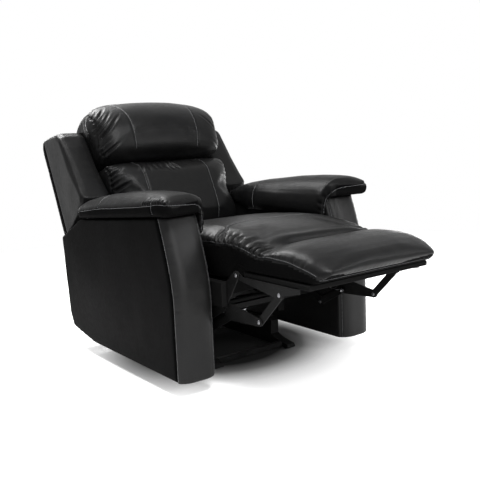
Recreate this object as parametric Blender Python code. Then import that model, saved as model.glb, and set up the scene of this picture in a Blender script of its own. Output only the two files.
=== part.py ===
"""Rocking recliner armchair with a chaise footrest, built as separate solids.

Metres, +Z up. The chair faces -Y and stands on z = 0. It is modelled as photographed: footrest out,
back at its upright stop. Chair coordinates have y = 0 at the front of the arms and grow to the rear;
one empty carries them to the model's own frame. "left" and "right" are the sitter's: left is +X.
Each moving piece hangs under an empty that stands on its joint's axis.
"""

import bmesh
import bpy
from math import cos, exp, hypot, pi, radians, sin, tan
from mathutils import Matrix, Vector

SIDES = (("left", 1), ("right", -1))

# Overall placing
ARM_FRONT_Y = -0.3350          # arm front plane in the model's frame, which centres the whole length
GAP = 0.0003                   # between pieces that touch

# Arms
ARM_OUTER_X = 0.470            # outer face of the side panel
ARM_PANEL_T = 0.030            # padded side panel
ARM_INNER_X = 0.310            # inner face of the arm
ARM_BOTTOM_Z = 0.055
ARM_BEND_Z = 0.345             # the arm front is upright below and leans back above
ARM_TOP_FRONT_Y = 0.075
ARM_TOP_FRONT_Z = 0.636
ARM_TOP_REAR_Y = 0.740
ARM_TOP_REAR_Z = 0.583
ARM_REAR_Y = 0.946
ARM_REAR_Z = 0.490
ARM_HEEL_Y = 0.680             # behind it the bottom rises, so that the chair can rock back
ARM_TOE_Y = 0.890
ARM_TOE_Z = 0.092
ARM_CORE_REAR_Y = 0.700
ARM_FRONT_PUFF = 0.020         # crown of the padded arm front
PAD_FRONT_Y = -0.020
PAD_REAR_Y = 0.748
PAD_HEIGHT = 0.086
PAD_OUTER_X = 0.492
PAD_INNER_X = 0.296
PAD_BOXING_Z = 0.030           # height of the pad's sewn side seam above its lower edge
PAD_SEAM_ALONG = 0.500         # cross seam, from the pad's front
PAD_DRAPE_X = 0.281            # inner face of the pad, where it falls over the arm to the seat
PAD_DRAPE_Z = 0.570
PAD_DRAPE_YS = (0.030, 0.600)
STRETCHER_SIZE = (0.024, 0.100)
STRETCHER_AT = (ARM_REAR_Y - 0.088, ARM_BOTTOM_Z + 0.045)

# Seat box and cushion
RAIL_T = 0.022
SEAT_RAIL_TOP_Z = 0.400
SEAT_RAIL_H = 0.088
CROSS_RAIL_H = 0.046
SEAT_FRONT_Y = -0.055
SEAT_REAR_Y = 0.682
CUSHION_SIDE_GAP = 0.010       # between the cushions and the arms
CUSHION_HALF_X = ARM_INNER_X - CUSHION_SIDE_GAP
CUSHION_REAR_Y = 0.662         # its rear edge tucks under the back cushion
CUSHION_CROWN_Z = 0.577
CUSHION_SEAM_IN = 0.045        # sewn line this far inside the seat's edge
SPRING_WIRE_R = 0.0018
SPRING_WAVE = 0.086
SPRING_AMPLITUDE = 0.024
SEAT_SPRING_XS = (-0.165, 0.0, 0.165)

# Side mechanism, in layers from the seat rail inwards
PLATE_T = 0.0047
PLATE_OUT_X = ARM_INNER_X - GAP - RAIL_T - GAP
PLATE_IN_X = PLATE_OUT_X - PLATE_T
LINK_T = 0.004
LAYER_GAP = 0.002
LAYER1_OUT = PLATE_IN_X - LAYER_GAP
LAYER1_IN = LAYER1_OUT - LINK_T
LAYER2_OUT = LAYER1_IN - LAYER_GAP
LAYER2_IN = LAYER2_OUT - LINK_T
PIN_R = 0.005
PIN_CLEAR = 0.0004
OPEN_PIVOT_CLEAR = 0.0009
PIN_STAND = 0.0005
LINK_END_R = 0.014
DRIVE_END_R = 0.012
TORQUE_TUBE_W = 0.020
LIGHTENING_YS = (0.300, 0.430, 0.560)
LIGHTENING_Z = 0.315
LIGHTENING_R = 0.024

# Axes of the joints, as (y, z) in chair coordinates
FOOTREST_AXIS = (-0.110, 0.430)
BRACKET_PIVOT = (-0.330, 0.395)    # where the coupler meets the footrest bracket
CRANK_AXIS = (0.000, 0.320)
TORQUE_AXIS = (0.130, 0.250)
DRIVE_ARM = (-0.055, -0.045)       # drive pivot from the crank's axis, and from the torque tube's
BACK_AXIS = (0.740, 0.420)
ROCK_AXIS = (0.440, 0.120)
BACK_LEAN = radians(25.0)
ROCK_FORWARD = radians(4.0)
ROCK_BACK = radians(7.0)
ROCK_SPARE = radians(0.35)

# Footrest
FOOT_HALF_X = 0.278
FOLD_Y = -0.262                # crease between the bridge pad and the footrest pad
FOOT_TIP_Y = -0.505
BOARD_T = 0.0175
BOARD_BOTTOM_Z = 0.428
BOARD_REAR_Y = -0.140
BOARD_FRONT_Y = -0.470
FLANGE_W = 0.024
FLANGE_T = 0.003

# Back, in its own leaning frame: v is rearward, w is up along the back, from the back's axis
BACK_SIDE_GAP = 0.003          # between the back and the arms' side panels
BACK_HALF_X = ARM_OUTER_X - ARM_PANEL_T - BACK_SIDE_GAP
WING_INNER_X = 0.3035
BACK_CUSHION_HALF_X = ARM_INNER_X - CUSHION_SIDE_GAP
BACK_BOARD_V = 0.050
BACK_BOARD_T = 0.024
BACK_BOARD_TOP_W = 0.600
BACK_BOARD_BOTTOM_W = -0.030
BACK_BRACKET_TOP_W = 0.260
WING_REAR_V = 0.170
OUTSIDE_BACK_V = 0.203
OUTSIDE_BACK_RISE = 0.028      # of the rear panel's edge over the board
CREASE_W = 0.382               # crease between the lower cushion and the headrest
HEADREST_RISE = 0.108          # of the headrest's crown over the board
HEADREST_TOP_W = BACK_BOARD_TOP_W + HEADREST_RISE
PANEL_SEAM_X = 0.165
PANEL_SEAMS = ((-PANEL_SEAM_X, PANEL_SEAM_X), 0.014, 0.016)    # places, depth and width

# Floor base and rockers
BASE_RAIL_IN_X = 0.165
BASE_RAIL_OUT_X = 0.205
BASE_FRONT_Y = 0.165
BASE_STEP_Y = 0.272
BASE_REAR_Y = 0.760
GLIDE_H = 0.008
GLIDE_R = 0.016
BASE_CROSS_H = 0.062
BASE_CROSS_T = 0.024
BASE_CROSS_INSET = 0.010       # rear cross rail from the ends of the base rails
BASE_FRONT_INSET = 0.035
BASE_FRONT_H = 0.022
CAM_INSET = 0.005
CAM_FRONT_Y = 0.225
CAM_REAR_Y = 0.655
CAM_TOP_Z = 0.223
CAM_RADIUS = 0.600
CHASSIS_TUBE_R = 0.012
CHASSIS_TUBE_YS = (0.250, 0.620)
ROCKER_COIL_R = 0.017
ROCKER_WIRE_R = 0.003
ROCKER_TURNS = 5
SEAT_PLATE_W = 0.052
SEAT_PLATE_T = 0.004
ROCKER_SEAT_Z = 0.074
ROCKER_CAP_Z = 0.186

# Footrest springs
EXTENSION_WIRE_R = 0.0014
EXTENSION_COIL_R = 0.0065
EXTENSION_COIL_L = 0.110
EXTENSION_TURNS = 10
SPRING_ANCHOR = (0.330, 0.285)
HOOK_R = 0.0062
HOOK_PIN_R = 0.004

# Inside release, on the sitter's right arm
RELEASE_Y = 0.215
RELEASE_Z = 0.610
BEZEL_L = 0.128
BEZEL_H = 0.056
BEZEL_T = 0.005
BEZEL_RIM = 0.007
BEZEL_DISH = 0.003
PADDLE_L = 0.094
PADDLE_H = 0.034
PADDLE_T = 0.004
PADDLE_STAND = 0.0006

LEATHER = ("black_leather", (0.012, 0.012, 0.013), 0.38, 0.0)
LEATHER_PADS = ("black_leather_pads", (0.014, 0.014, 0.015), 0.34, 0.0)
STEEL = ("black_steel", (0.020, 0.020, 0.021), 0.42, 0.8)
BRIGHT_STEEL = ("bright_steel", (0.52, 0.52, 0.53), 0.30, 1.0)
WOOD = ("frame_wood", (0.40, 0.27, 0.15), 0.65, 0.0)
LINING = ("black_lining", (0.016, 0.016, 0.016), 0.80, 0.0)
BLACK_PLASTIC = ("black_plastic", (0.018, 0.018, 0.019), 0.45, 0.0)


def remove_all():
    for obj in list(bpy.data.objects):
        bpy.data.objects.remove(obj, do_unlink=True)


def finish(spec):
    """The material of a (name, colour, roughness, metallic) set, one copy for each object."""
    name, colour, roughness, metallic = spec
    material = bpy.data.materials.new(name)
    material.use_nodes = True
    shader = material.node_tree.nodes["Principled BSDF"]
    shader.inputs["Base Color"].default_value = (*colour, 1.0)
    shader.inputs["Roughness"].default_value = roughness
    shader.inputs["Metallic"].default_value = metallic
    return material


def axis_empty(name, parent, location, lean=0.0):
    """An empty on a joint's axis; its place is in its parent's coordinates."""
    empty = bpy.data.objects.new(name, None)
    bpy.context.collection.objects.link(empty)
    empty.parent = parent
    empty.location = location
    empty.rotation_euler = (lean, 0.0, 0.0)
    return empty


def add_object(name, bm, spec, body, helper=False):
    """Turn a bmesh in chair coordinates into an object under its body's empty."""
    bmesh.ops.remove_doubles(bm, verts=bm.verts, dist=1e-6)
    bmesh.ops.recalc_face_normals(bm, faces=bm.faces)
    mesh = bpy.data.meshes.new(name)
    bm.to_mesh(mesh)
    bm.free()
    mesh.transform(Matrix.Translation(-body["origin"]))
    mesh.shade_smooth()
    mesh.set_sharp_from_angle(angle=radians(35.0))
    mesh.materials.append(finish(spec))
    obj = bpy.data.objects.new(name, mesh)
    bpy.context.collection.objects.link(obj)
    obj.parent = body["empty"]
    if helper:
        obj.hide_render = True
        obj.display_type = "WIRE"
    return obj


def fuse(obj, *tools):
    """Union helper shapes into an object."""
    for tool in tools:
        modifier = obj.modifiers.new("fuse_" + tool.name, "BOOLEAN")
        modifier.operation = "UNION"
        modifier.object = tool


def arc(centre, radius, start, end, steps=6):
    """Points on a circle in the (y, z) plane, by angle in degrees from +y towards +z."""
    turn = [radians(start + (end - start) * i / steps) for i in range(steps + 1)]
    return [(centre[0] + radius * cos(a), centre[1] + radius * sin(a)) for a in turn]


def circle(centre, radius, steps=14):
    """Points round a full circle in the (y, z) plane."""
    return arc(centre, radius, 0.0, 360.0 * (steps - 1) / steps, steps - 1)


def hull(points):
    """Convex outline round a set of (y, z) points."""
    points = sorted(set(points))

    def half(ordered):
        chain = []
        for p in ordered:
            while len(chain) > 1 and cross(chain[-2], chain[-1], p) <= 0.0:
                chain.pop()
            chain.append(p)
        return chain[:-1]

    return half(points) + half(points[::-1])


def cross(a, b, c):
    """Twice the signed area of the triangle of three (y, z) points."""
    return (b[0] - a[0]) * (c[1] - a[1]) - (b[1] - a[1]) * (c[0] - a[0])


def link_outline(*ends, radius=LINK_END_R):
    """Rounded link round two or more pivots."""
    points = [p for end in ends for p in circle(end, radius, 12)]
    return hull(points)


def plate_mesh(outline, holes, x0, x1):
    """Flat plate across X with an outline and round holes, each hole as (centre, radius)."""
    bm = bmesh.new()
    edges = []
    for loop in [outline] + [circle(centre, radius) for centre, radius in holes]:
        verts = [bm.verts.new((x0, y, z)) for y, z in loop]
        edges += [bm.edges.new((verts[i - 1], verts[i])) for i in range(len(verts))]
    bmesh.ops.triangle_fill(bm, use_beauty=True, use_dissolve=False, edges=edges)
    out = bmesh.ops.extrude_face_region(bm, geom=bm.faces[:])
    moved = [item for item in out["geom"] if isinstance(item, bmesh.types.BMVert)]
    bmesh.ops.translate(bm, verts=moved, vec=(x1 - x0, 0.0, 0.0))
    return bm


def box_mesh(x, y, z):
    """Box from three (low, high) pairs."""
    bm = bmesh.new()
    bmesh.ops.create_cube(bm, size=1.0)
    for vert in bm.verts:
        vert.co = [lo + (hi - lo) * (co + 0.5) for (lo, hi), co in zip((x, y, z), vert.co)]
    return bm


def bevel_edges(bm, width, segments=1):
    bmesh.ops.bevel(bm, geom=bm.edges[:], offset=width, segments=segments, affect="EDGES", profile=0.5)
    return bm


def pin_mesh(centre, radius, x0, x1, steps=12):
    """Round pin along X at a (y, z) place."""
    return plate_mesh(circle(centre, radius, steps), [], x0, x1)


def loft_mesh(rings):
    """Closed skin through rings of equal count, ends closed by a fan to their middle."""
    bm = bmesh.new()
    rows = [[bm.verts.new(p) for p in ring] for ring in rings]
    count = len(rows[0])
    for low, high in zip(rows, rows[1:]):
        for i in range(count):
            j = (i + 1) % count
            bm.faces.new((low[i], low[j], high[j], high[i]))
    for row in (rows[0], rows[-1]):
        middle = bm.verts.new(sum((v.co for v in row), Vector()) / count)
        for i in range(count):
            bm.faces.new((row[i], row[(i + 1) % count], middle))
    return bm


def cushion_mesh(outline, half_x, crown, ends, seams=((), 0.0, 0.016), steps=6, centre_x=0.0):
    """Padded form lofted across X through its side outline.

    Each outline point is (y, z, softness): at a station the soft points are drawn towards the
    middle of the outline by the crown's fall, the rounding of the ends and the seams' grooves.
    ends is (length, depth) of the drawn-in ends, and seams is (places along X, depth, width).
    """
    seam_xs, seam_depth, seam_width = seams
    mid_y = sum(p[0] for p in outline) / len(outline)
    mid_z = sum(p[1] for p in outline) / len(outline)
    end_length, end_depth = ends
    inner = half_x - end_length
    stations = [inner * (2.0 * i / (2 * steps) - 1.0) for i in range(2 * steps + 1)]
    for seam in seam_xs:
        stations = [x for x in stations if abs(x - seam) > seam_width * 1.9]
        stations += [seam - 1.5 * seam_width, seam, seam + 1.5 * seam_width]
    stations += [-half_x, -half_x + 0.3 * end_length, half_x - 0.3 * end_length, half_x]
    rings = []
    for x in sorted(stations):
        drop = crown * (abs(x) / half_x) ** 2.5
        over = max(0.0, (abs(x) - inner) / end_length)
        drop += end_depth * (1.0 - (1.0 - over ** 2.2) ** 0.5) if over < 1.0 else end_depth
        drop += sum(seam_depth * exp(-((x - seam) / seam_width) ** 2) for seam in seam_xs)
        ring = []
        for y, z, soft in outline:
            reach = hypot(mid_y - y, mid_z - z)
            move = min(drop * soft / reach, 0.8)
            ring.append(Vector((centre_x + x, y + (mid_y - y) * move, z + (mid_z - z) * move)))
        rings.append(ring)
    return loft_mesh(rings)


def coil_points(start, direction, side, radius, length, turns, per_turn=8):
    """Helix from a start point along a direction; side is where its first point lies."""
    up = direction.cross(side)
    count = turns * per_turn
    points = []
    for i in range(count + 1):
        angle = 2.0 * pi * i / per_turn
        along = direction * (length * i / count)
        points.append(start + along + radius * (side * cos(angle) + up * sin(angle)))
    return points


def wire(name, points, radius, spec, body, resolution=1):
    """Round wire of one unbroken poly spline with closed ends."""
    curve = bpy.data.curves.new(name, "CURVE")
    curve.dimensions = "3D"
    curve.bevel_depth = radius
    curve.bevel_resolution = resolution
    curve.render_resolution_u = 0
    curve.use_fill_caps = True
    spline = curve.splines.new("POLY")
    spline.points.add(len(points) - 1)
    for slot, point in zip(spline.points, points):
        slot.co = (*(Vector(point) - body["origin"]), 1.0)
    curve.materials.append(finish(spec))
    obj = bpy.data.objects.new(name, curve)
    bpy.context.collection.objects.link(obj)
    obj.parent = body["empty"]
    return obj


def least_gap(points, radius, apart):
    """Least clear gap between stretches of a wire that lie at least so many points apart."""
    pairs = [(p, q) for i, p in enumerate(points) for q in points[i + apart:]]
    return min((p - q).length for p, q in pairs) - 2.0 * radius


def spread(sign, x0, x1):
    """The two ends of a span across X on one side of the chair, low first."""
    return tuple(sorted((sign * x0, sign * x1)))


def arm_top(y):
    """Height of the arm under its pad."""
    slope = (ARM_TOP_REAR_Z - ARM_TOP_FRONT_Z) / (ARM_TOP_REAR_Y - ARM_TOP_FRONT_Y)
    return ARM_TOP_FRONT_Z + slope * (y - ARM_TOP_FRONT_Y)


def arm_front_points(lean, bottom=ARM_BOTTOM_Z):
    """Front edge of the arm from its top down: a lean that eases into an upright."""
    points = []
    for i in range(5):
        share = i / 4.0
        z = ARM_TOP_FRONT_Z + (ARM_BEND_Z - ARM_TOP_FRONT_Z) * share
        points.append((lean * (1.0 - share) ** 1.5, z))
    return points + [(0.0, bottom)]


def arm_panel(side, sign, chassis):
    """Flat padded side of the arm, cut diagonally behind for the back and raised at the heel."""
    outline = arm_front_points(ARM_TOP_FRONT_Y)
    outline += [(ARM_HEEL_Y, ARM_BOTTOM_Z), (ARM_TOE_Y, ARM_TOE_Z), (ARM_TOE_Y + 0.028, ARM_TOE_Z + 0.055)]
    outline += [(ARM_REAR_Y, ARM_REAR_Z), (ARM_TOP_REAR_Y, ARM_TOP_REAR_Z)]
    bm = plate_mesh(outline, [], *spread(sign, ARM_OUTER_X - ARM_PANEL_T, ARM_OUTER_X))
    return add_object("arm_panel_" + side, bm, LEATHER, chassis)


def arm_core(side, sign, chassis):
    """Inner arm with its crowned front: sections across X whose fronts swell forwards."""
    outer = ARM_OUTER_X - ARM_PANEL_T - GAP
    inner = ARM_INNER_X
    rings = []
    for share in (0.0, 0.10, 0.32, 0.68, 0.90, 1.0):
        x = inner + (outer - inner) * share
        puff = ARM_FRONT_PUFF * (1.0 - (2.0 * share - 1.0) ** 4)
        front = [(y - puff, z) for y, z in arm_front_points(ARM_TOP_FRONT_Y)]
        core = front + [(ARM_CORE_REAR_Y, ARM_BOTTOM_Z), (ARM_CORE_REAR_Y, arm_top(ARM_CORE_REAR_Y))]
        rings.append([Vector((sign * x, y, z)) for y, z in core])
    return add_object("arm_core_" + side, loft_mesh(rings), LEATHER, chassis)


def pad_section(y, size, drape):
    """Ring across the arm pad as (outward, up) points. drape 1 carries its inner side down to the seat."""
    bottom = arm_top(max(y, ARM_TOP_FRONT_Y)) + GAP
    droop = 0.010 * max(0.0, 1.0 - (y - PAD_FRONT_Y) / 0.10) ** 2
    middle = bottom + PAD_BOXING_Z - droop
    mid_x = (PAD_OUTER_X + PAD_INNER_X) / 2.0
    wide = (PAD_OUTER_X - PAD_INNER_X) / 2.0 * size ** 0.5
    inner = mid_x - wide + (PAD_DRAPE_X - PAD_INNER_X) * drape
    foot = bottom + (PAD_DRAPE_Z - bottom) * drape
    outer = mid_x + wide
    ring = [(outer - 0.012, bottom), (outer - 0.002, bottom + 0.3 * PAD_BOXING_Z), (outer, middle)]
    for degrees in (25.0, 48.0, 70.0, 90.0, 110.0, 132.0, 155.0):
        c, up = cos(radians(degrees)), sin(radians(degrees))
        reach = outer - mid_x if c > 0.0 else inner - mid_x
        rise = (PAD_HEIGHT - PAD_BOXING_Z) * size * up ** 0.8
        ring.append((mid_x + reach * abs(c) ** 0.75, middle + rise))
    shoulder = middle + (PAD_DRAPE_Z + 0.094 - middle) * drape
    wall = max(ARM_INNER_X - GAP, inner + 0.012)
    heel = wall if drape else wall - 0.004
    ring += [(inner, shoulder), (inner, foot + 0.008), (inner + 0.006, foot), (heel, foot), (wall, bottom)]
    return ring


def arm_pad(side, sign, chassis):
    """Pillow-top arm pad that rolls over the front and falls inside the arm to the seat."""
    front, rear = PAD_DRAPE_YS
    stations = [(PAD_FRONT_Y, 0.36, 0.0), (PAD_FRONT_Y + 0.006, 0.62, 0.0), (PAD_FRONT_Y + 0.020, 0.85, 0.0)]
    stations += [(front, 1.0, 0.15), (front + 0.012, 1.0, 0.85), (ARM_TOP_FRONT_Y, 1.0, 1.0)]
    stations += [(0.130, 1.0, 1.0), (0.300, 1.0, 1.0)]
    for along, size in ((-0.025, 0.97), (0.0, 0.90), (0.025, 0.97)):
        stations.append((PAD_FRONT_Y + PAD_SEAM_ALONG + along, size, 1.0))
    stations += [(rear - 0.040, 0.97, 1.0), (rear - 0.012, 0.96, 0.7), (rear + 0.020, 0.96, 0.0)]
    stations += [(PAD_REAR_Y - 0.038, 0.88, 0.0), (PAD_REAR_Y - 0.012, 0.76, 0.0), (PAD_REAR_Y, 0.50, 0.0)]
    rings = []
    for y, size, drape in stations:
        rings.append([Vector((sign * x, y, z)) for x, z in pad_section(y, size, drape)])
    return add_object("arm_pad_" + side, loft_mesh(rings), LEATHER_PADS, chassis)


def rear_stretcher(chassis):
    """Upholstered cross rail that ties the arms together behind."""
    half = ARM_OUTER_X - ARM_PANEL_T - GAP
    (y, z), (thick, high) = STRETCHER_AT, STRETCHER_SIZE
    bm = bevel_edges(box_mesh((-half, half), (y, y + thick), (z, z + high)), 0.004)
    return add_object("rear_stretcher", bm, LEATHER, chassis)


def seat_box(chassis):
    """Wooden side rails outside the mechanism plates, and cross rails between the plates."""
    low = SEAT_RAIL_TOP_Z - SEAT_RAIL_H
    for side, sign in SIDES:
        x = spread(sign, ARM_INNER_X - GAP - RAIL_T, ARM_INNER_X - GAP)
        bm = bevel_edges(box_mesh(x, (SEAT_FRONT_Y, SEAT_REAR_Y), (low, SEAT_RAIL_TOP_Z)), 0.002)
        add_object("seat_rail_" + side, bm, LINING, chassis)
    half = PLATE_IN_X - GAP
    low = SEAT_RAIL_TOP_Z - CROSS_RAIL_H
    rails = (("seat_front_rail", SEAT_FRONT_Y, LINING), ("seat_rear_rail", SEAT_REAR_Y - RAIL_T, WOOD))
    for name, y, spec in rails:
        bm = bevel_edges(box_mesh((-half, half), (y, y + RAIL_T), (low, SEAT_RAIL_TOP_Z)), 0.002)
        add_object(name, bm, spec, chassis)


def seat_springs(chassis):
    """Sinuous springs from the front rail to the rear rail, each one bent wire."""
    z = SEAT_RAIL_TOP_Z + GAP + SPRING_WIRE_R
    start, end = SEAT_FRONT_Y + 0.006, SEAT_REAR_Y - 0.006
    waves = round((end - start) / SPRING_WAVE)
    count = waves * 5
    for number, x in enumerate(SEAT_SPRING_XS, 1):
        points = []
        for i in range(count + 1):
            swing = SPRING_AMPLITUDE * sin(2.0 * pi * waves * i / count)
            points.append(Vector((x + swing, start + (end - start) * i / count, z)))
        wire(f"seat_spring_{number}", points, SPRING_WIRE_R, STEEL, chassis, resolution=0)


def seat_cushion(chassis):
    """Seat cushion up to the footrest's axis, crowned, with sewn lines inside its edges."""
    bottom = SEAT_RAIL_TOP_Z + 2.0 * SPRING_WIRE_R + 4.0 * GAP
    front = FOOTREST_AXIS[0] + 0.006
    top = CUSHION_CROWN_Z
    outline = [(CUSHION_REAR_Y, bottom, 0.0), (0.28, bottom, 0.0)]
    outline += [(SEAT_FRONT_Y + 0.002, bottom + 0.004, 0.0), (front, 0.464, 0.0)]
    outline += [(front, 0.515, 0.4), (front, top - 0.014, 1.0)]
    outline += [(-0.055, top - 0.004, 1.0), (0.02, top, 1.0), (0.12, top, 1.0), (0.24, top - 0.004, 1.0)]
    outline += [(0.36, top - 0.012, 1.0), (0.46, top - 0.026, 1.0), (0.53, top - 0.040, 0.9)]
    outline += [(0.574, top - 0.056, 0.6), (0.598, top - 0.078, 0.3), (0.616, top - 0.102, 0.1)]
    outline += [(CUSHION_REAR_Y - 0.018, top - 0.122, 0.0), (CUSHION_REAR_Y, top - 0.136, 0.0)]
    edge = CUSHION_HALF_X - CUSHION_SEAM_IN
    bm = cushion_mesh(outline, CUSHION_HALF_X, 0.040, (0.030, 0.020), ((-edge, edge), 0.006, 0.010))
    return add_object("seat_cushion", bm, LEATHER_PADS, chassis)


def bridge_pad(footrest):
    """Pad that bridges the seat and the footrest pad."""
    rear = FOOTREST_AXIS[0] + 0.0045
    front = FOLD_Y + 0.0006
    top = CUSHION_CROWN_Z
    bottom = BOARD_BOTTOM_Z + BOARD_T + GAP
    outline = [(rear, 0.464, 0.0), (rear, 0.515, 0.4), (rear, top - 0.014, 1.0), (-0.150, top - 0.020, 1.0)]
    outline += [(-0.205, top - 0.028, 1.0), (-0.240, top - 0.036, 1.0), (front, top - 0.048, 0.9)]
    outline += [(front, 0.490, 0.3), (front, bottom, 0.0), (-0.150, bottom, 0.0)]
    edge = CUSHION_HALF_X - CUSHION_SEAM_IN
    bm = cushion_mesh(outline, CUSHION_HALF_X, 0.032, (0.030, 0.012), ((-edge, edge), 0.006, 0.010))
    return add_object("chaise_bridge_pad", bm, LEATHER_PADS, footrest)


def footrest_pad(footrest):
    """Padded footrest: crowned, thin at its front lip."""
    rear = FOLD_Y - 0.0006
    bottom = BOARD_BOTTOM_Z + BOARD_T + GAP
    outline = [(rear, bottom, 0.0), (rear, 0.495, 0.3), (rear, 0.528, 0.9), (-0.285, 0.544, 1.0)]
    outline += [(-0.330, 0.550, 1.0), (-0.385, 0.545, 1.0), (-0.440, 0.530, 1.0), (-0.480, 0.508, 1.0)]
    outline += [(FOOT_TIP_Y + 0.005, 0.488, 0.6), (FOOT_TIP_Y, 0.471, 0.4)]
    outline += [(FOOT_TIP_Y + 0.005, 0.456, 0.2), (FOOT_TIP_Y + 0.025, bottom, 0.0), (-0.380, bottom, 0.0)]
    bm = cushion_mesh(outline, FOOT_HALF_X, 0.026, (0.028, 0.016))
    return add_object("footrest_pad", bm, LEATHER_PADS, footrest)


def footrest_board(footrest):
    """Plywood board under the footrest pad."""
    half = FOOT_HALF_X - 0.002
    top = BOARD_BOTTOM_Z + BOARD_T
    bm = box_mesh((-half, half), (BOARD_FRONT_Y, BOARD_REAR_Y), (BOARD_BOTTOM_Z, top))
    return add_object("footrest_board", bevel_edges(bm, 0.003), LINING, footrest)


def footrest_bracket(side, sign, footrest):
    """Angle bracket under the board, with its pin in the mechanism plate and the coupler's pin."""
    top = BOARD_BOTTOM_Z - GAP
    outline = arc(FOOTREST_AXIS, LINK_END_R, -100.0, 145.0, 9)
    outline += [(BOARD_REAR_Y - 0.002, top), (-0.430, top), (-0.430, top - 0.014)]
    outline += arc(BRACKET_PIVOT, LINK_END_R, 180.0, 280.0, 5)
    plate = plate_mesh(outline, [], *spread(sign, LAYER1_IN, LAYER1_OUT))
    bracket = add_object("footrest_bracket_" + side, plate, STEEL, footrest)
    x = spread(sign, LAYER1_IN - FLANGE_W, LAYER1_OUT - 0.001)
    flange = box_mesh(x, (-0.420, BOARD_REAR_Y - 0.012), (top - FLANGE_T, top))
    flange = add_object("bracket_flange_" + side, flange, STEEL, footrest, helper=True)
    x = spread(sign, LAYER1_OUT - 0.002, PLATE_OUT_X - PIN_STAND)
    axle = add_object("bracket_axle_" + side, pin_mesh(FOOTREST_AXIS, PIN_R, *x), STEEL, footrest, True)
    x = spread(sign, LAYER2_IN - PIN_STAND, LAYER1_IN + 0.002)
    pin = add_object("bracket_pin_" + side, pin_mesh(BRACKET_PIVOT, PIN_R, *x), STEEL, footrest, True)
    fuse(bracket, flange, axle, pin)


def moved(point, by):
    """A (y, z) place shifted by another pair."""
    return (point[0] + by[0], point[1] + by[1])


def crank_tip():
    """Far pivot of the crank, which lies parallel to the footrest bracket."""
    reach = (BRACKET_PIVOT[0] - FOOTREST_AXIS[0], BRACKET_PIVOT[1] - FOOTREST_AXIS[1])
    return moved(CRANK_AXIS, reach)


def crank(side, sign, cranks):
    """Crank that swings the footrest: axle in the plate, pins for the coupler and the drive link."""
    drive = moved(CRANK_AXIS, DRIVE_ARM)
    outline = link_outline(CRANK_AXIS, crank_tip(), drive)
    plate = plate_mesh(outline, [], *spread(sign, LAYER1_IN, LAYER1_OUT))
    body = add_object("ottoman_crank_" + side, plate, STEEL, cranks)
    x = spread(sign, LAYER1_OUT - 0.002, PLATE_OUT_X - PIN_STAND)
    axle = add_object("crank_axle_" + side, pin_mesh(CRANK_AXIS, PIN_R, *x), STEEL, cranks, True)
    x = spread(sign, LAYER2_IN - PIN_STAND, LAYER1_IN + 0.002)
    pin = add_object("crank_pin_" + side, pin_mesh(crank_tip(), PIN_R, *x), STEEL, cranks, True)
    x = spread(sign, spring_x() - 0.004, LAYER1_IN + 0.002)
    peg = add_object("drive_pin_" + side, pin_mesh(drive, HOOK_PIN_R, *x), STEEL, cranks, True)
    fuse(body, axle, pin, peg)


def coupler(side, sign, couplers):
    """Coupler from the crank's tip to the footrest bracket; its bracket end is the open pivot."""
    holes = [(crank_tip(), PIN_R + PIN_CLEAR), (BRACKET_PIVOT, PIN_R + OPEN_PIVOT_CLEAR)]
    outline = link_outline(crank_tip(), BRACKET_PIVOT)
    plate = plate_mesh(outline, holes, *spread(sign, LAYER2_IN, LAYER2_OUT))
    add_object("ottoman_coupler_" + side, plate, STEEL, couplers)


def torque_tube(torque):
    """Square cross tube with an arm at each end, which ties the two sides together."""
    half = TORQUE_TUBE_W / 2.0
    y, z = TORQUE_AXIS
    reach = LAYER1_IN + 0.002
    bm = box_mesh((-reach, reach), (y - half, y + half), (z - half, z + half))
    tube = add_object("torque_tube", bm, STEEL, torque)
    arm_end = moved(TORQUE_AXIS, DRIVE_ARM)
    for side, sign in SIDES:
        outline = link_outline(TORQUE_AXIS, arm_end)
        plate = plate_mesh(outline, [], *spread(sign, LAYER1_IN, LAYER1_OUT))
        arm = add_object("torque_arm_" + side, plate, STEEL, torque, True)
        x = spread(sign, LAYER1_OUT - 0.002, PLATE_OUT_X - PIN_STAND)
        axle = add_object("torque_axle_" + side, pin_mesh(TORQUE_AXIS, PIN_R, *x), STEEL, torque, True)
        x = spread(sign, LAYER2_IN - PIN_STAND, LAYER1_IN + 0.002)
        pin = add_object("torque_pin_" + side, pin_mesh(arm_end, PIN_R, *x), STEEL, torque, True)
        fuse(tube, arm, axle, pin)


def drive_link(side, sign, drives):
    """Link from the torque arm to the crank; its crank end is the open pivot."""
    start = moved(TORQUE_AXIS, DRIVE_ARM)
    end = moved(CRANK_AXIS, DRIVE_ARM)
    holes = [(start, PIN_R + PIN_CLEAR), (end, HOOK_PIN_R + OPEN_PIVOT_CLEAR)]
    outline = link_outline(start, end, radius=DRIVE_END_R)
    plate = plate_mesh(outline, holes, *spread(sign, LAYER2_IN, LAYER2_OUT))
    add_object("drive_link_" + side, plate, STEEL, drives)


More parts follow.
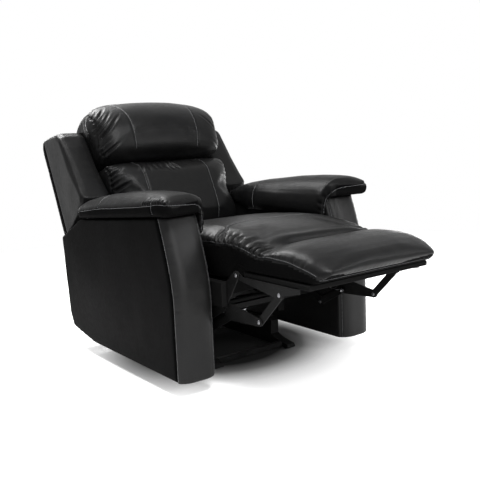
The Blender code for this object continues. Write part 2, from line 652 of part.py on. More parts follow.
def mechanism_plate(side, sign, chassis):
    """Side plate that carries the footrest, crank, torque tube and back pivots."""
    outline = arc(FOOTREST_AXIS, 0.016, 48.0, 235.0, 8)
    outline += [(-0.035, 0.292), (0.090, 0.226), (0.200, 0.218), (0.660, 0.218)]
    outline += arc(BACK_AXIS, 0.022, -62.0, 128.0, 8)
    outline += [(0.690, SEAT_RAIL_TOP_Z - 0.001), (-0.052, SEAT_RAIL_TOP_Z - 0.001)]
    pivots = (FOOTREST_AXIS, CRANK_AXIS, TORQUE_AXIS, BACK_AXIS)
    holes = [(pivot, PIN_R + PIN_CLEAR) for pivot in pivots]
    holes += [((y, LIGHTENING_Z), LIGHTENING_R) for y in LIGHTENING_YS]
    plate = plate_mesh(outline, holes, *spread(sign, PLATE_IN_X, PLATE_OUT_X))
    body = add_object("mechanism_plate_" + side, plate, STEEL, chassis)
    x = spread(sign, spring_x() - 0.004, PLATE_IN_X + 0.002)
    peg = add_object("spring_peg_" + side, pin_mesh(SPRING_ANCHOR, HOOK_PIN_R, *x), STEEL, chassis, True)
    fuse(body, peg)


def spring_x():
    """Distance of the footrest spring's axis from the chair's middle."""
    return LAYER2_IN - EXTENSION_COIL_R - EXTENSION_WIRE_R - 0.003


def footrest_spring(side, sign, chassis):
    """Extension spring from the crank's drive pin back to the mechanism plate, hooked at both ends."""
    front = moved(CRANK_AXIS, DRIVE_ARM)
    x = sign * spring_x()
    a = Vector((x, *front))
    b = Vector((x, *SPRING_ANCHOR))
    ahead = (b - a).normalized()
    across = Vector((sign, 0.0, 0.0)).cross(ahead)
    lead = ((b - a).length - EXTENSION_COIL_L) / 2.0
    start = a + ahead * lead
    coil = coil_points(start, ahead, across, EXTENSION_COIL_R, EXTENSION_COIL_L, EXTENSION_TURNS)
    turns = [radians(-150 - 50 * i) for i in range(4)]
    hook = [a + HOOK_R * (ahead * cos(t) + across * sin(t)) for t in turns]
    turns = [radians(-60 - 50 * i) for i in range(4)]
    tail = [b - HOOK_R * (ahead * cos(t) + across * sin(t)) for t in turns]
    points = hook + [a + ahead * (HOOK_R + 0.012)] + coil + [b - ahead * (HOOK_R + 0.012)] + tail
    gap = least_gap(coil, EXTENSION_WIRE_R, 5)
    print(f"footrest_spring_{side}: least gap to itself {gap * 1000.0:.1f} mm")
    wire("footrest_spring_" + side, points, EXTENSION_WIRE_R, BRIGHT_STEEL, chassis)


def rocker_cam(side, sign, chassis):
    """Rocker whose lower edge rolls on the base rail, with a cap plate for its spring."""
    rock_y = ROCK_AXIS[0]
    steps = 6
    rear = [(CAM_REAR_Y - rock_y) * (1.0 - i / steps) for i in range(steps)]
    front = [(CAM_FRONT_Y - rock_y) * i / steps for i in range(steps + 1)]
    outline = [(CAM_FRONT_Y, CAM_TOP_Z), (CAM_REAR_Y, CAM_TOP_Z)]
    outline += [(rock_y + along, cam_edge(along)) for along in rear + front]
    x0, x1 = BASE_RAIL_IN_X + CAM_INSET, BASE_RAIL_OUT_X - CAM_INSET
    bm = plate_mesh(outline, [], *spread(sign, x0, x1))
    cam = add_object("rocker_cam_" + side, bm, STEEL, chassis)
    x = spread(sign, x0 - SEAT_PLATE_W, x0 + 0.002)
    half = SEAT_PLATE_W / 2.0
    cap = box_mesh(x, (rock_y - half, rock_y + half), (ROCKER_CAP_Z, ROCKER_CAP_Z + SEAT_PLATE_T))
    fuse(cam, add_object("spring_cap_" + side, cap, STEEL, chassis, True))


def cam_edge(along):
    """Height of the rocker's lower edge, a distance along from where it stands on the rail."""
    limit = ROCK_BACK if along > 0.0 else ROCK_FORWARD
    rise = max(along ** 2 / (2.0 * CAM_RADIUS), abs(along) * tan(limit + ROCK_SPARE))
    return ROCK_AXIS[1] + rise


def chassis_tubes(chassis):
    """Round cross tubes that stand on the rockers and reach from plate to plate."""
    half = PLATE_IN_X - GAP
    z = CAM_TOP_Z + GAP + CHASSIS_TUBE_R
    for name, y in zip(("chassis_tube_front", "chassis_tube_rear"), CHASSIS_TUBE_YS):
        add_object(name, pin_mesh((y, z), CHASSIS_TUBE_R, -half, half, 16), STEEL, chassis)


def base_rail(side, sign, base):
    """Floor rail with a low toe in front, and the seat plate of the rocker spring."""
    top = ROCK_AXIS[1] - GAP
    outline = [(BASE_FRONT_Y, GLIDE_H), (BASE_REAR_Y, GLIDE_H), (BASE_REAR_Y, top - 0.012)]
    outline += [(BASE_REAR_Y - 0.012, top), (BASE_STEP_Y + 0.014, top), (BASE_STEP_Y, top - 0.014)]
    outline += [(BASE_STEP_Y + 0.002, 0.048), (BASE_STEP_Y - 0.030, 0.034), (BASE_FRONT_Y + 0.006, 0.022)]
    outline += [(BASE_FRONT_Y, 0.015)]
    bm = plate_mesh(outline, [], *spread(sign, BASE_RAIL_IN_X, BASE_RAIL_OUT_X))
    rail = add_object("base_rail_" + side, bm, STEEL, base)
    x = spread(sign, BASE_RAIL_IN_X + CAM_INSET - SEAT_PLATE_W, BASE_RAIL_IN_X + 0.002)
    half = SEAT_PLATE_W / 2.0
    y = ROCK_AXIS[0]
    plate = box_mesh(x, (y - half, y + half), (ROCKER_SEAT_Z - SEAT_PLATE_T, ROCKER_SEAT_Z))
    fuse(rail, add_object("spring_seat_" + side, plate, STEEL, base, True))


def base_cross_rails(base):
    """Low cross bar at the toes and a taller one at the rear ends of the base rails."""
    half = BASE_RAIL_IN_X - GAP
    rear_y = BASE_REAR_Y - BASE_CROSS_T - BASE_CROSS_INSET
    for name, y, high in (
        ("base_front_rail", BASE_FRONT_Y + BASE_FRONT_INSET, BASE_FRONT_H),
        ("base_rear_rail", rear_y, BASE_CROSS_H),
    ):
        bm = box_mesh((-half, half), (y, y + BASE_CROSS_T), (GLIDE_H, GLIDE_H + high))
        add_object(name, bevel_edges(bm, 0.002), STEEL, base)


def base_glides(base):
    """Round plastic glides under the ends of the base rails."""
    middle = (BASE_RAIL_IN_X + BASE_RAIL_OUT_X) / 2.0
    for side, sign in SIDES:
        for end, y in (("front", BASE_FRONT_Y + 0.030), ("rear", BASE_REAR_Y - 0.030)):
            bm = bmesh.new()
            depth = GLIDE_H - GAP
            size = {"segments": 16, "radius1": GLIDE_R * 0.85, "radius2": GLIDE_R, "depth": depth}
            bmesh.ops.create_cone(bm, cap_ends=True, **size)
            bmesh.ops.translate(bm, verts=bm.verts, vec=(sign * middle, y, depth / 2.0))
            add_object(f"base_glide_{end}_{side}", bm, BLACK_PLASTIC, base)


def rocker_spring(side, sign, base):
    """Compression coil between the base's seat plate and the rocker's cap plate."""
    x = sign * (BASE_RAIL_IN_X + CAM_INSET - SEAT_PLATE_W / 2.0)
    low = ROCKER_SEAT_Z + GAP + ROCKER_WIRE_R
    high = ROCKER_CAP_Z - GAP - ROCKER_WIRE_R
    start = Vector((x, ROCK_AXIS[0], low))
    up, first = Vector((0, 0, 1)), Vector((1, 0, 0))
    points = coil_points(start, up, first, ROCKER_COIL_R, high - low, ROCKER_TURNS)
    gap = least_gap(points, ROCKER_WIRE_R, 5)
    print(f"rocker_spring_{side}: least gap to itself {gap * 1000.0:.1f} mm")
    wire("rocker_spring_" + side, points, ROCKER_WIRE_R, BRIGHT_STEEL, base)


def back_board(back):
    """Plywood board behind the back cushions, wider above the brackets to hold the wings."""
    v = (BACK_BOARD_V, BACK_BOARD_V + BACK_BOARD_T)
    step = BACK_BRACKET_TOP_W + 0.004
    half = LAYER1_IN - GAP
    lower = box_mesh((-half, half), v, (BACK_BOARD_BOTTOM_W, step + 0.006))
    board = add_object("back_board", lower, LINING, back)
    half = WING_INNER_X - GAP
    upper = box_mesh((-half, half), v, (step, BACK_BOARD_TOP_W))
    fuse(board, add_object("board_upper", upper, LINING, back, True))
    return board


def back_bracket(side, sign, back):
    """Bracket from the back's pivot round the cushion's foot and up the board's edge."""
    rear = BACK_BOARD_V + BACK_BOARD_T
    outline = arc((0.0, 0.0), 0.016, 90.0, 250.0, 7)
    outline += [(BACK_BOARD_V, -0.026), (rear, -0.010), (rear, BACK_BRACKET_TOP_W - 0.020)]
    outline += [(BACK_BOARD_V + 0.001, BACK_BRACKET_TOP_W)]
    outline += [(BACK_BOARD_V + 0.001, 0.020)]
    plate = plate_mesh(outline, [], *spread(sign, LAYER1_IN, LAYER1_OUT))
    bracket = add_object("back_bracket_" + side, plate, STEEL, back)
    x = spread(sign, LAYER1_OUT - 0.002, PLATE_OUT_X - PIN_STAND)
    fuse(bracket, add_object("back_axle_" + side, pin_mesh((0.0, 0.0), PIN_R, *x), STEEL, back, True))


def back_wing(side, sign, back):
    """Side bolster of the back: a wedge, deeper at its foot, rounded on its outer and inner edges."""
    outline = [(-0.080, 0.232, 0.9), (-0.062, 0.300, 1.0), (-0.040, 0.400, 1.0), (-0.018, 0.500, 1.0)]
    outline += [(0.000, 0.560, 0.9), (0.030, 0.592, 0.9), (0.090, 0.612, 0.9), (0.150, 0.624, 0.6)]
    outline += [(WING_REAR_V, 0.610, 0.0), (WING_REAR_V, 0.400, 0.0), (WING_REAR_V, 0.162, 0.0)]
    outline += [(0.080, 0.172, 0.3), (0.004, 0.190, 0.4), (-0.060, 0.214, 0.5)]
    half = (BACK_HALF_X - WING_INNER_X) / 2.0
    middle = sign * (BACK_HALF_X + WING_INNER_X) / 2.0
    bm = cushion_mesh(outline, half, 0.004, (0.030, 0.024), steps=3, centre_x=middle)
    return add_object("back_wing_" + side, bm, LEATHER, back)


def outside_back(back):
    """Upholstered rear panel over the whole width of the back."""
    front = WING_REAR_V + GAP
    outline = [(front, -0.022, 0.0), (OUTSIDE_BACK_V - 0.006, -0.026, 0.0), (OUTSIDE_BACK_V, -0.016, 0.3)]
    top = BACK_BOARD_TOP_W + OUTSIDE_BACK_RISE
    for share in (0.22, 0.55, 0.90):
        outline.append((OUTSIDE_BACK_V, top * share, 0.3))
    outline += [(OUTSIDE_BACK_V - 0.004, top - 0.026, 0.5), (OUTSIDE_BACK_V - 0.016, top - 0.006, 0.6)]
    outline += [(front, top, 0.4), (front, top * 0.65, 0.0), (front, top * 0.25, 0.0)]
    bm = cushion_mesh(outline, BACK_HALF_X, 0.002, (0.020, 0.030), steps=4)
    return add_object("outside_back", bm, LEATHER, back)


def lower_back_cushion(back):
    """Lower back cushion in three sewn panels."""
    rear = BACK_BOARD_V - GAP
    top = CREASE_W - 0.002
    outline = [(rear, 0.026, 0.0)]
    profile = [(-0.060, 0.058, 0.2), (-0.120, 0.053, 0.6), (-0.155, 0.105, 0.9), (-0.172, 0.224, 1.0)]
    profile += [(-0.176, 0.395, 1.0), (-0.176, 0.579, 1.0), (-0.170, 0.763, 1.0), (-0.158, 0.882, 1.0)]
    profile += [(-0.135, 0.963, 0.8), (-0.100, 0.995, 0.3)]
    outline += [(v, top * share, size) for v, share, size in profile]
    outline += [(-0.020, top, 0.0), (rear, top, 0.0), (rear, top * 0.53, 0.0)]
    bm = cushion_mesh(outline, BACK_CUSHION_HALF_X, 0.018, (0.045, 0.050), PANEL_SEAMS, steps=5)
    return add_object("lower_back_cushion", bm, LEATHER_PADS, back)


def headrest_cushion(back):
    """Domed headrest in three sewn panels, which rolls over the top of the board."""
    rear = BACK_BOARD_V - GAP
    over = BACK_BOARD_TOP_W + GAP
    high = HEADREST_TOP_W - CREASE_W
    outline = [(rear, CREASE_W, 0.0), (-0.020, CREASE_W, 0.0)]
    profile = [(-0.105, 0.006, 0.3), (-0.160, 0.061, 0.7), (-0.190, 0.172, 1.0), (-0.204, 0.347, 1.0)]
    profile += [(-0.196, 0.531, 1.0), (-0.168, 0.699, 1.0), (-0.124, 0.837, 1.0), (-0.064, 0.939, 1.0)]
    profile += [(0.004, 1.0, 1.0), (0.072, 1.006, 1.0)]
    outline += [(v, CREASE_W + high * share, size) for v, share, size in profile]
    for v, share, size in ((0.126, 0.87, 1.0), (0.158, 0.574, 0.8), (0.164, 0.278, 0.4), (0.158, 0.0, 0.1)):
        outline.append((v, over + (HEADREST_RISE - GAP) * share, size))
    outline += [(0.100, over, 0.0), (rear, over, 0.0), (rear, (CREASE_W + over) / 2.0, 0.0)]
    bm = cushion_mesh(outline, BACK_CUSHION_HALF_X, 0.040, (0.050, 0.055), PANEL_SEAMS, steps=5)
    return add_object("headrest_cushion", bm, LEATHER_PADS, back)


def release_bezel(chassis):
    """Dished surround of the release, on the inner face of the sitter's right arm pad."""
    x_wall = -(PAD_DRAPE_X - GAP)
    y = (RELEASE_Y - BEZEL_L / 2.0, RELEASE_Y + BEZEL_L / 2.0)
    z = (RELEASE_Z - BEZEL_H / 2.0, RELEASE_Z + BEZEL_H / 2.0)
    bm = box_mesh((x_wall, x_wall + BEZEL_T), y, z)
    upright = [edge for edge in bm.edges if abs(edge.verts[0].co.x - edge.verts[1].co.x) > 1e-4]
    bmesh.ops.bevel(bm, geom=upright, offset=0.014, segments=3, affect="EDGES", profile=0.5)
    bm.normal_update()
    face = max(bm.faces, key=lambda f: f.calc_center_median().x)
    bmesh.ops.inset_region(bm, faces=[face], thickness=BEZEL_RIM)
    bmesh.ops.translate(bm, verts=face.verts, vec=(-BEZEL_DISH, 0.0, 0.0))
    return add_object("release_bezel", bm, BLACK_PLASTIC, chassis)


def release_paddle(release, axis):
    """Pull paddle that hangs from its upper edge inside the dish."""
    x = axis[0]
    z = axis[2]
    outline_y = (RELEASE_Y - PADDLE_L / 2.0, RELEASE_Y + PADDLE_L / 2.0)
    bm = box_mesh((x - PADDLE_T / 2.0, x + PADDLE_T / 2.0), outline_y, (z - PADDLE_H, z + 0.003))
    for vert in bm.verts:
        if vert.co.z < z - PADDLE_H / 2.0:
            vert.co.x += 0.003
    return add_object("release_paddle", bevel_edges(bm, 0.0012), BLACK_PLASTIC, release)


def build():
    remove_all()
    chair = axis_empty("chair_frame", None, (0.0, ARM_FRONT_Y, 0.0))

    def body(name, parent, y, z, x=0.0):
        base_at = parent["origin"] if parent else Vector()
        place = Vector((x, y, z))
        empty = axis_empty(name + "_axis", parent["empty"] if parent else chair, place - base_at)
        return {"empty": empty, "origin": place}

    base = body("base", None, 0.0, 0.0)
    chassis = body("rock", base, *ROCK_AXIS)
    footrest = body("footrest", chassis, *FOOTREST_AXIS)
    cranks = body("crank", chassis, *CRANK_AXIS)
    couplers = body("coupler", cranks, *crank_tip())
    torque = body("torque", chassis, *TORQUE_AXIS)
    drives = body("drive", torque, *moved(TORQUE_AXIS, DRIVE_ARM))
    paddle_x = -(PAD_DRAPE_X - GAP) + BEZEL_T - BEZEL_DISH + PADDLE_STAND + PADDLE_T / 2.0
    paddle_at = (paddle_x, RELEASE_Y, RELEASE_Z + PADDLE_H / 2.0)
    release = body("release", chassis, paddle_at[1], paddle_at[2], paddle_at[0])
    back_at = Vector((0.0, *BACK_AXIS)) - chassis["origin"]
    lean = axis_empty("back_axis", chassis["empty"], back_at, -BACK_LEAN)
    back = {"empty": lean, "origin": Vector()}

    for side, sign in SIDES:
        base_rail(side, sign, base)
        rocker_spring(side, sign, base)
        rocker_cam(side, sign, chassis)
        mechanism_plate(side, sign, chassis)
        arm_panel(side, sign, chassis)
        arm_core(side, sign, chassis)
        arm_pad(side, sign, chassis)
        footrest_spring(side, sign, chassis)
        footrest_bracket(side, sign, footrest)
        crank(side, sign, cranks)
        coupler(side, sign, couplers)
        drive_link(side, sign, drives)
        back_bracket(side, sign, back)
        back_wing(side, sign, back)
    base_cross_rails(base)
    base_glides(base)
    chassis_tubes(chassis)
    seat_box(chassis)
    seat_springs(chassis)
    seat_cushion(chassis)
    rear_stretcher(chassis)
    release_bezel(chassis)
    bridge_pad(footrest)
    footrest_pad(footrest)
    footrest_board(footrest)
    torque_tube(torque)
    back_board(back)
    outside_back(back)
    lower_back_cushion(back)
    headrest_cushion(back)
    release_paddle(release, paddle_at)


build()
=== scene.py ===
# %% [markdown]
# # Rocking recliner in black leather
#
# The frame of this chair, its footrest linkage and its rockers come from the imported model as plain
# solids. This script dresses them: stuffed leather cushions, sewn seams, gathers, thread, rivets and
# the finish of each surface. All lengths are metres, +Z is up and the chair faces -Y.

from functools import partial
from math import cos, pi, radians, sin

import bpy
import bmesh
import numpy as np
from mathutils import Matrix, Vector
from mathutils.bvhtree import BVHTree


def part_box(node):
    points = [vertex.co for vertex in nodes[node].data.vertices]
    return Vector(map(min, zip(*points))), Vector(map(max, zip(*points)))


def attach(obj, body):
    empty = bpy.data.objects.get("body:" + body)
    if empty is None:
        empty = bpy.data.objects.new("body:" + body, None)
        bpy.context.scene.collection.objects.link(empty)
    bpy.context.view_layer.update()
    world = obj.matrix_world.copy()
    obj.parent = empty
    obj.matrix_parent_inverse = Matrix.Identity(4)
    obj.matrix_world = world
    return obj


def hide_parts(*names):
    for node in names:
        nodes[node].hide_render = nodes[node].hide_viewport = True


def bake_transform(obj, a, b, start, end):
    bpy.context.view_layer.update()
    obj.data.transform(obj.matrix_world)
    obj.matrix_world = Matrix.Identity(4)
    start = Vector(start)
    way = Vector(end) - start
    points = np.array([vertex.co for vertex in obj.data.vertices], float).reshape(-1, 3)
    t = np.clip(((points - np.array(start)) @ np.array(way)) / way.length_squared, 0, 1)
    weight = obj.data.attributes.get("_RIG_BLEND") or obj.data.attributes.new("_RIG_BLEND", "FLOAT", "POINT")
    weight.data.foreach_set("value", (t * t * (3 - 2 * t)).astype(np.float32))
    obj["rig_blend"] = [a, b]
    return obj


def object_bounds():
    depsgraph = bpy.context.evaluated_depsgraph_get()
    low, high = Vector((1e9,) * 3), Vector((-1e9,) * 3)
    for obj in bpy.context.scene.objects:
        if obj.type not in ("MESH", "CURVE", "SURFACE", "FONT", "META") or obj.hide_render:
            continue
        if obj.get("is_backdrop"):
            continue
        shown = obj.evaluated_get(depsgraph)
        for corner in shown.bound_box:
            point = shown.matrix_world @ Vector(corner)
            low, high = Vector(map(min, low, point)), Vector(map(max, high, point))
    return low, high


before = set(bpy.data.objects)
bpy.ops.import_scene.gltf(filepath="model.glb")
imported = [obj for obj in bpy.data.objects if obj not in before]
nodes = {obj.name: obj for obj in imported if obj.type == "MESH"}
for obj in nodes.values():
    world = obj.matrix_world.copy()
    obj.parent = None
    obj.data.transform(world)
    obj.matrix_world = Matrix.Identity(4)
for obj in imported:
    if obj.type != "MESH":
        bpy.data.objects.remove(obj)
cad_low, cad_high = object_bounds()
print("solids:", len(nodes), "box:", [round(high - low, 3) for low, high in zip(cad_low, cad_high)])

# %% [markdown]
# ## Camera and studio
#
# The chair was photographed from its right front corner, from above the arm pads and below the top of
# the back, with a slight tilt of the camera. The place and angles below were fitted to corners of the
# arms, the base and the footrest. A picture of black leather is mostly a picture of what it reflects,
# so the studio has broad soft lamps: a high one at the front left for the back cushions, two weaker
# ones in front for the arm fronts, one high behind the chair for the long highlights on the rims, a
# weaker one above, and two low ones for the far side and the back.

# %% Camera
AZIMUTH, ELEVATION, ROLL = radians(-36.279), radians(8.792), radians(-2.546)
CAMERA_AT = Vector((-1.6476, -2.3338, 0.9124))
SENSOR_WIDTH, LENS = 36.0, 52.205


def new_object(name, data):
    obj = bpy.data.objects.new(name, data)
    bpy.context.scene.collection.objects.link(obj)
    return obj


back = Vector((sin(AZIMUTH) * cos(ELEVATION), -cos(AZIMUTH) * cos(ELEVATION), sin(ELEVATION)))
right = Vector((cos(AZIMUTH), sin(AZIMUTH), 0.0))
up = back.cross(right)
turned = Matrix((right * cos(ROLL) + up * sin(ROLL), up * cos(ROLL) - right * sin(ROLL), back))
camera = new_object("camera", bpy.data.cameras.new("camera"))
camera.matrix_world = Matrix.Translation(CAMERA_AT) @ turned.transposed().to_4x4()
camera.data.sensor_width, camera.data.lens = SENSOR_WIDTH, LENS
camera.data.clip_start, camera.data.clip_end = 0.05, 60.0
bpy.context.scene.camera = camera
bpy.context.scene.view_settings.view_transform = "Standard"
print("camera at", [round(c, 3) for c in camera.location])


# %% Nodes and materials: short names used all through the script
def fill(made, inputs):
    """Set a node's inputs, or wire those whose value is an output of another node."""
    for key, value in inputs.items():
        if isinstance(value, bpy.types.NodeSocket):
            made.id_data.links.new(value, made.inputs[key])
        else:
            made.inputs[key].default_value = value


def new_node(tree, kind, inputs=None, out=0, **settings):
    """Add a node to a tree and give back one of its outputs."""
    made = tree.nodes.new(kind)
    for key, value in settings.items():
        setattr(made, key, value)
    fill(made, inputs or {})
    return made.outputs[out]


class Finish:
    """A material under way, with a method for each node that most finishes use."""

    def __init__(self, name):
        self.material = bpy.data.materials.new(name)
        self.material.use_nodes = True
        self.tree = self.material.node_tree
        self.node = partial(new_node, self.tree)
        self.place = self.node("ShaderNodeTexCoord", out="Object")

    def noise(self, scale, detail, **more):
        inputs = {"Vector": self.place, "Scale": scale, "Detail": detail, **more}
        return self.node("ShaderNodeTexNoise", inputs)

    def between(self, value, low, high, to_low=0.0, to_high=1.0):
        return self.node("ShaderNodeMapRange", {"Value": value, "From Min": low, "From Max": high,
                                                "To Min": to_low, "To Max": to_high})

    def bump(self, height, distance, strength, **under):
        inputs = {"Height": height, "Distance": distance, "Strength": strength, **under}
        return self.node("ShaderNodeBump", inputs)

    def mix(self, share, first, second):
        """Two colours where the second is given as one, otherwise two numbers."""
        kind, at, out = ("RGBA", 6, 2) if isinstance(second, tuple) else ("FLOAT", 2, 0)
        return self.node("ShaderNodeMix", {0: share, at: first, at + 1: second}, out, data_type=kind)

    def steps(self, factor, *stops):
        """A colour ramp through (place, grey or rgb) stops."""
        colour = self.node("ShaderNodeValToRGB", {"Fac": factor})
        elements = colour.node.color_ramp.elements
        while len(elements) < len(stops):
            elements.new(0.5)
        for element, (place, value) in zip(elements, stops):
            element.position = place
            element.color = (*(value if isinstance(value, tuple) else (value,) * 3), 1.0)
        return colour

    def done(self, **inputs):
        """Give the shader its inputs, written with _ for a space."""
        shader = self.tree.nodes["Principled BSDF"]
        fill(shader, {key.replace("_", " "): value for key, value in inputs.items()})
        return self.material


# %% Floor, pale backdrop and lamps
WHITE = (1.0, 1.0, 1.0, 1.0)
# The chair's footprint on the floor: there the floor's colour is painted dark, a painted shadow, and its glow
# fades out.
UNDER_CHAIR, FOOTPRINT_SCALE = (0.0, 0.09, 0.0), (2.0, 2.1, 1.0)
SOFT_LIGHT = 0.35
FLOOR_SIZE = 14


def mesh_object(name, points, faces):
    mesh = bpy.data.meshes.new(name)
    mesh.from_pydata([tuple(p) for p in points], [], faces)
    mesh.update()
    return new_object(name, mesh)


def seen_directly(tree):
    """1 where a ray comes from the camera, off gloss or through glass, 0 in soft light."""
    path = new_node(tree, "ShaderNodeLightPath").node.outputs
    seen = path["Is Camera Ray"]
    for kind in ("Is Glossy Ray", "Is Transmission Ray"):
        seen = new_node(tree, "ShaderNodeMath", {0: seen, 1: path[kind]}, operation="MAXIMUM")
    return seen


def studio_floor():
    """White to the camera and in reflections. Its colour is painted dark under the chair, a painted shadow,
    and its glow fades out near the chair.
    """
    finish = Finish("studio_floor")
    vector_math = partial(finish.node, "ShaderNodeVectorMath")
    centred = vector_math({0: finish.place, 1: UNDER_CHAIR}, operation="SUBTRACT")
    footprint = vector_math({0: centred, 1: FOOTPRINT_SCALE}, operation="MULTIPLY")
    from_under = vector_math({0: footprint}, out="Value", operation="LENGTH")
    from_middle = vector_math({0: finish.place}, out="Value", operation="LENGTH")
    # Painted shadow: the floor's own colour falls from 0.86 to 0.03 under the chair.
    floor_colour_painted_shadow = finish.steps(finish.between(from_under, 0.55, 1.0), (0.0, 0.03), (1.0, 0.86))
    finish.done(Roughness=0.9, Specular_IOR_Level=0.0, Base_Color=floor_colour_painted_shadow)
    lit = finish.tree.nodes["Principled BSDF"].outputs["BSDF"]
    clear = finish.between(from_under, 0.72, 1.22, 0.0, 0.66)
    glow, far = (finish.node("ShaderNodeEmission", {"Color": WHITE, "Strength": level})
                 for level in (clear, 1.0))
    near = finish.node("ShaderNodeAddShader", {0: lit, 1: glow})
    bright = finish.node("ShaderNodeMixShader", {0: finish.between(from_middle, 1.5, 3.5), 1: near, 2: far})
    shown = finish.node("ShaderNodeMixShader", {0: seen_directly(finish.tree), 1: lit, 2: bright})
    fill(finish.tree.nodes["Material Output"], {"Surface": shown})
    return finish.material


corners = [(x * FLOOR_SIZE, y * FLOOR_SIZE, 0) for x, y in ((-1, -1), (1, -1), (1, 1), (-1, 1))]
floor = mesh_object("studio_floor", corners, [(0, 1, 2, 3)])
floor.data.materials.append(studio_floor())
floor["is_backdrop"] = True

world = bpy.data.worlds.new("studio")
bpy.context.scene.world = world
world.use_nodes = True
level = {"Value": seen_directly(world.node_tree), "To Min": SOFT_LIGHT, "To Max": 1.0}
fill(world.node_tree.nodes["Background"],
     {"Strength": new_node(world.node_tree, "ShaderNodeMapRange", level), "Color": WHITE})

MIDDLE = (0.0, 0.0, 0.5)
LAMPS = (("lamp_front_left", (-0.5, -1.8, 2.85), MIDDLE, (0.9, 1.2), 100.0),
         ("lamp_front", (-0.35, -3.4, 1.5), MIDDLE, (0.5, 0.8), 30.0),
         ("lamp_front_right", (1.8, -3.0, 1.45), MIDDLE, (0.8, 1.2), 35.0),
         ("lamp_rim", (-0.3, 2.3, 3.1), MIDDLE, (1.5, 0.8), 120.0),
         ("lamp_top", (-0.65, 0.7, 3.2), MIDDLE, (0.8, 0.8), 60.0),
         ("lamp_far_side", (3.4, 1.1, 0.45), (0.0, 0.0, 0.35), (1.6, 0.6), 35.0),
         ("lamp_behind", (0.6, 3.6, 1.0), MIDDLE, (1.6, 1.2), 45.0))
for name, place, target, size, watts in LAMPS:
    lamp = bpy.data.lights.new(name, "AREA")
    lamp.shape = "RECTANGLE"
    lamp.size, lamp.size_y = size
    lamp.energy = watts
    obj = new_object(name, lamp)
    obj.location = place
    obj.rotation_euler = (Vector(target) - Vector(place)).to_track_quat("-Z", "Y").to_euler()
print("lamps:", [lamp[0] for lamp in LAMPS])

# %% [markdown]
# ## Leather
#
# Upholstery leather of this kind is split hide with a black pigmented coat and an embossed pebble
# grain of about a millimetre. Its own colour hardly varies; what the eye reads is the gloss, which is a
# little higher on stretched crowns and lower in the hollows of seams and gathers. In those hollows the
# colour is also painted darker, a painted shade. The grain is a Voronoi pattern in object coordinates,
# so it needs no unwrapping, and the hollows come from a number stored on the mesh's own points, which
# each cushion fills in later. One function makes five leathers from this one hide, which differ in
# depth of black, gloss and relief: for the stuffed cushions, the tight covers, the strips below the
# seams, the arm pads and the arm fronts. The differences in relief are the hide's own; the darker,
# duller copies on the tight covers, the strips and the arm pads are painted shade, and the lighter,
# glossier copy on the arm fronts is painted light.

# %% Five black leathers
def leather(name, grey, roughness, gloss, grain, relief=0.5):
    """Pigmented hide. The mesh's own hollow shade number paints shade in seams and folds, darkening the
    colour, and dulls the gloss there.
    """
    finish = Finish(name)
    mottle = finish.noise(55.0, 4.0, Roughness=0.6)
    hollow_shade = finish.node("ShaderNodeAttribute", out="Fac", attribute_name="hollow_shade")
    cool, warm = (grey * 0.94, grey * 0.95, grey), (grey * 1.28, grey * 1.26, grey * 1.24)
    colour = finish.steps(finish.mix(0.35, finish.noise(5.0, 3.0), mottle), (0.36, cool), (0.64, warm))
    shine = finish.between(mottle, 0.3, 0.7, roughness - 0.05, roughness + 0.06)
    pebbles = finish.node("ShaderNodeTexVoronoi", {"Vector": finish.place, "Scale": 1.0 / grain,
                                                   "Smoothness": 0.6}, feature="SMOOTH_F1")
    creases = finish.bump(finish.noise(34.0, 5.0, Distortion=1.2), 0.0011, 0.35)
    fine = finish.bump(finish.noise(2.2 / grain, 2.0), 0.00012, relief, Normal=creases)
    # Painted shade: the colour is mixed towards near-black by the hollow shade number.
    return finish.done(Base_Color=finish.mix(hollow_shade, colour, (0.0022, 0.0022, 0.0024, 1.0)),
                       Roughness=finish.node("ShaderNodeMath", {0: hollow_shade, 1: 0.18, 2: shine},
                                             operation="MULTIPLY_ADD"),
                       Specular_IOR_Level=gloss, Normal=finish.bump(pebbles, 0.00032, relief, Normal=fine))


# Lit and shaded copies of one hide: the tight, boxing and arm pad leathers are darker and duller as painted
# shade, the arm front leather lighter and glossier as painted light.
SOFT_LEATHER = leather("leather_soft", 0.0045, 0.35, 0.090, 0.0012)
TIGHT_LEATHER_PAINTED_SHADE = leather("leather_tight_painted_shade", 0.0024, 0.45, 0.008, 0.0011, relief=0.22)
SHADED_LEATHER = leather("leather_boxing_painted_shade", 0.0030, 0.55, 0.003, 0.0011, relief=0.12)
PAD_LEATHER_PAINTED_SHADE = leather("leather_arm_pad_painted_shade", 0.0042, 0.38, 0.045, 0.0012, relief=0.35)
FRONT_LEATHER_PAINTED_LIGHT = leather("leather_arm_front_painted_light", 0.0055, 0.40, 0.16, 0.0011, relief=0.35)
LEATHERS = (SOFT_LEATHER, TIGHT_LEATHER_PAINTED_SHADE, SHADED_LEATHER, PAD_LEATHER_PAINTED_SHADE, FRONT_LEATHER_PAINTED_LIGHT)
print("leathers:", [m.name for m in LEATHERS])

# %% [markdown]
# ## How a stuffed cushion is made here
#
# An upholsterer sews flat panels into a case and fills it until the panels bulge between the seams.
# The steps below do the same. A form is lofted a little smaller than the finished cushion, remeshed
# into even cells, held where it is sewn or lies on wood, and blown up as cloth. After that the mesh
# is subdivided once, and what is narrower than a cell is pressed in: seams, gathers and slack folds.

# %% Meshes to arrays and back
def array_of(items, field, width=3, kind=float):
    """One field of a mesh's points, normals or edges as a table."""
    values = np.empty(len(items) * width, dtype=kind)
    items.foreach_get(field, values)
    return values.reshape(-1, width)


def points_of(obj):
    return array_of(obj.data.vertices, "co")


def normals_of(obj):
    return array_of(obj.data.vertex_normals, "vector")


def set_points(obj, co):
    obj.data.vertices.foreach_set("co", np.asarray(co, float).ravel())
    obj.data.update()


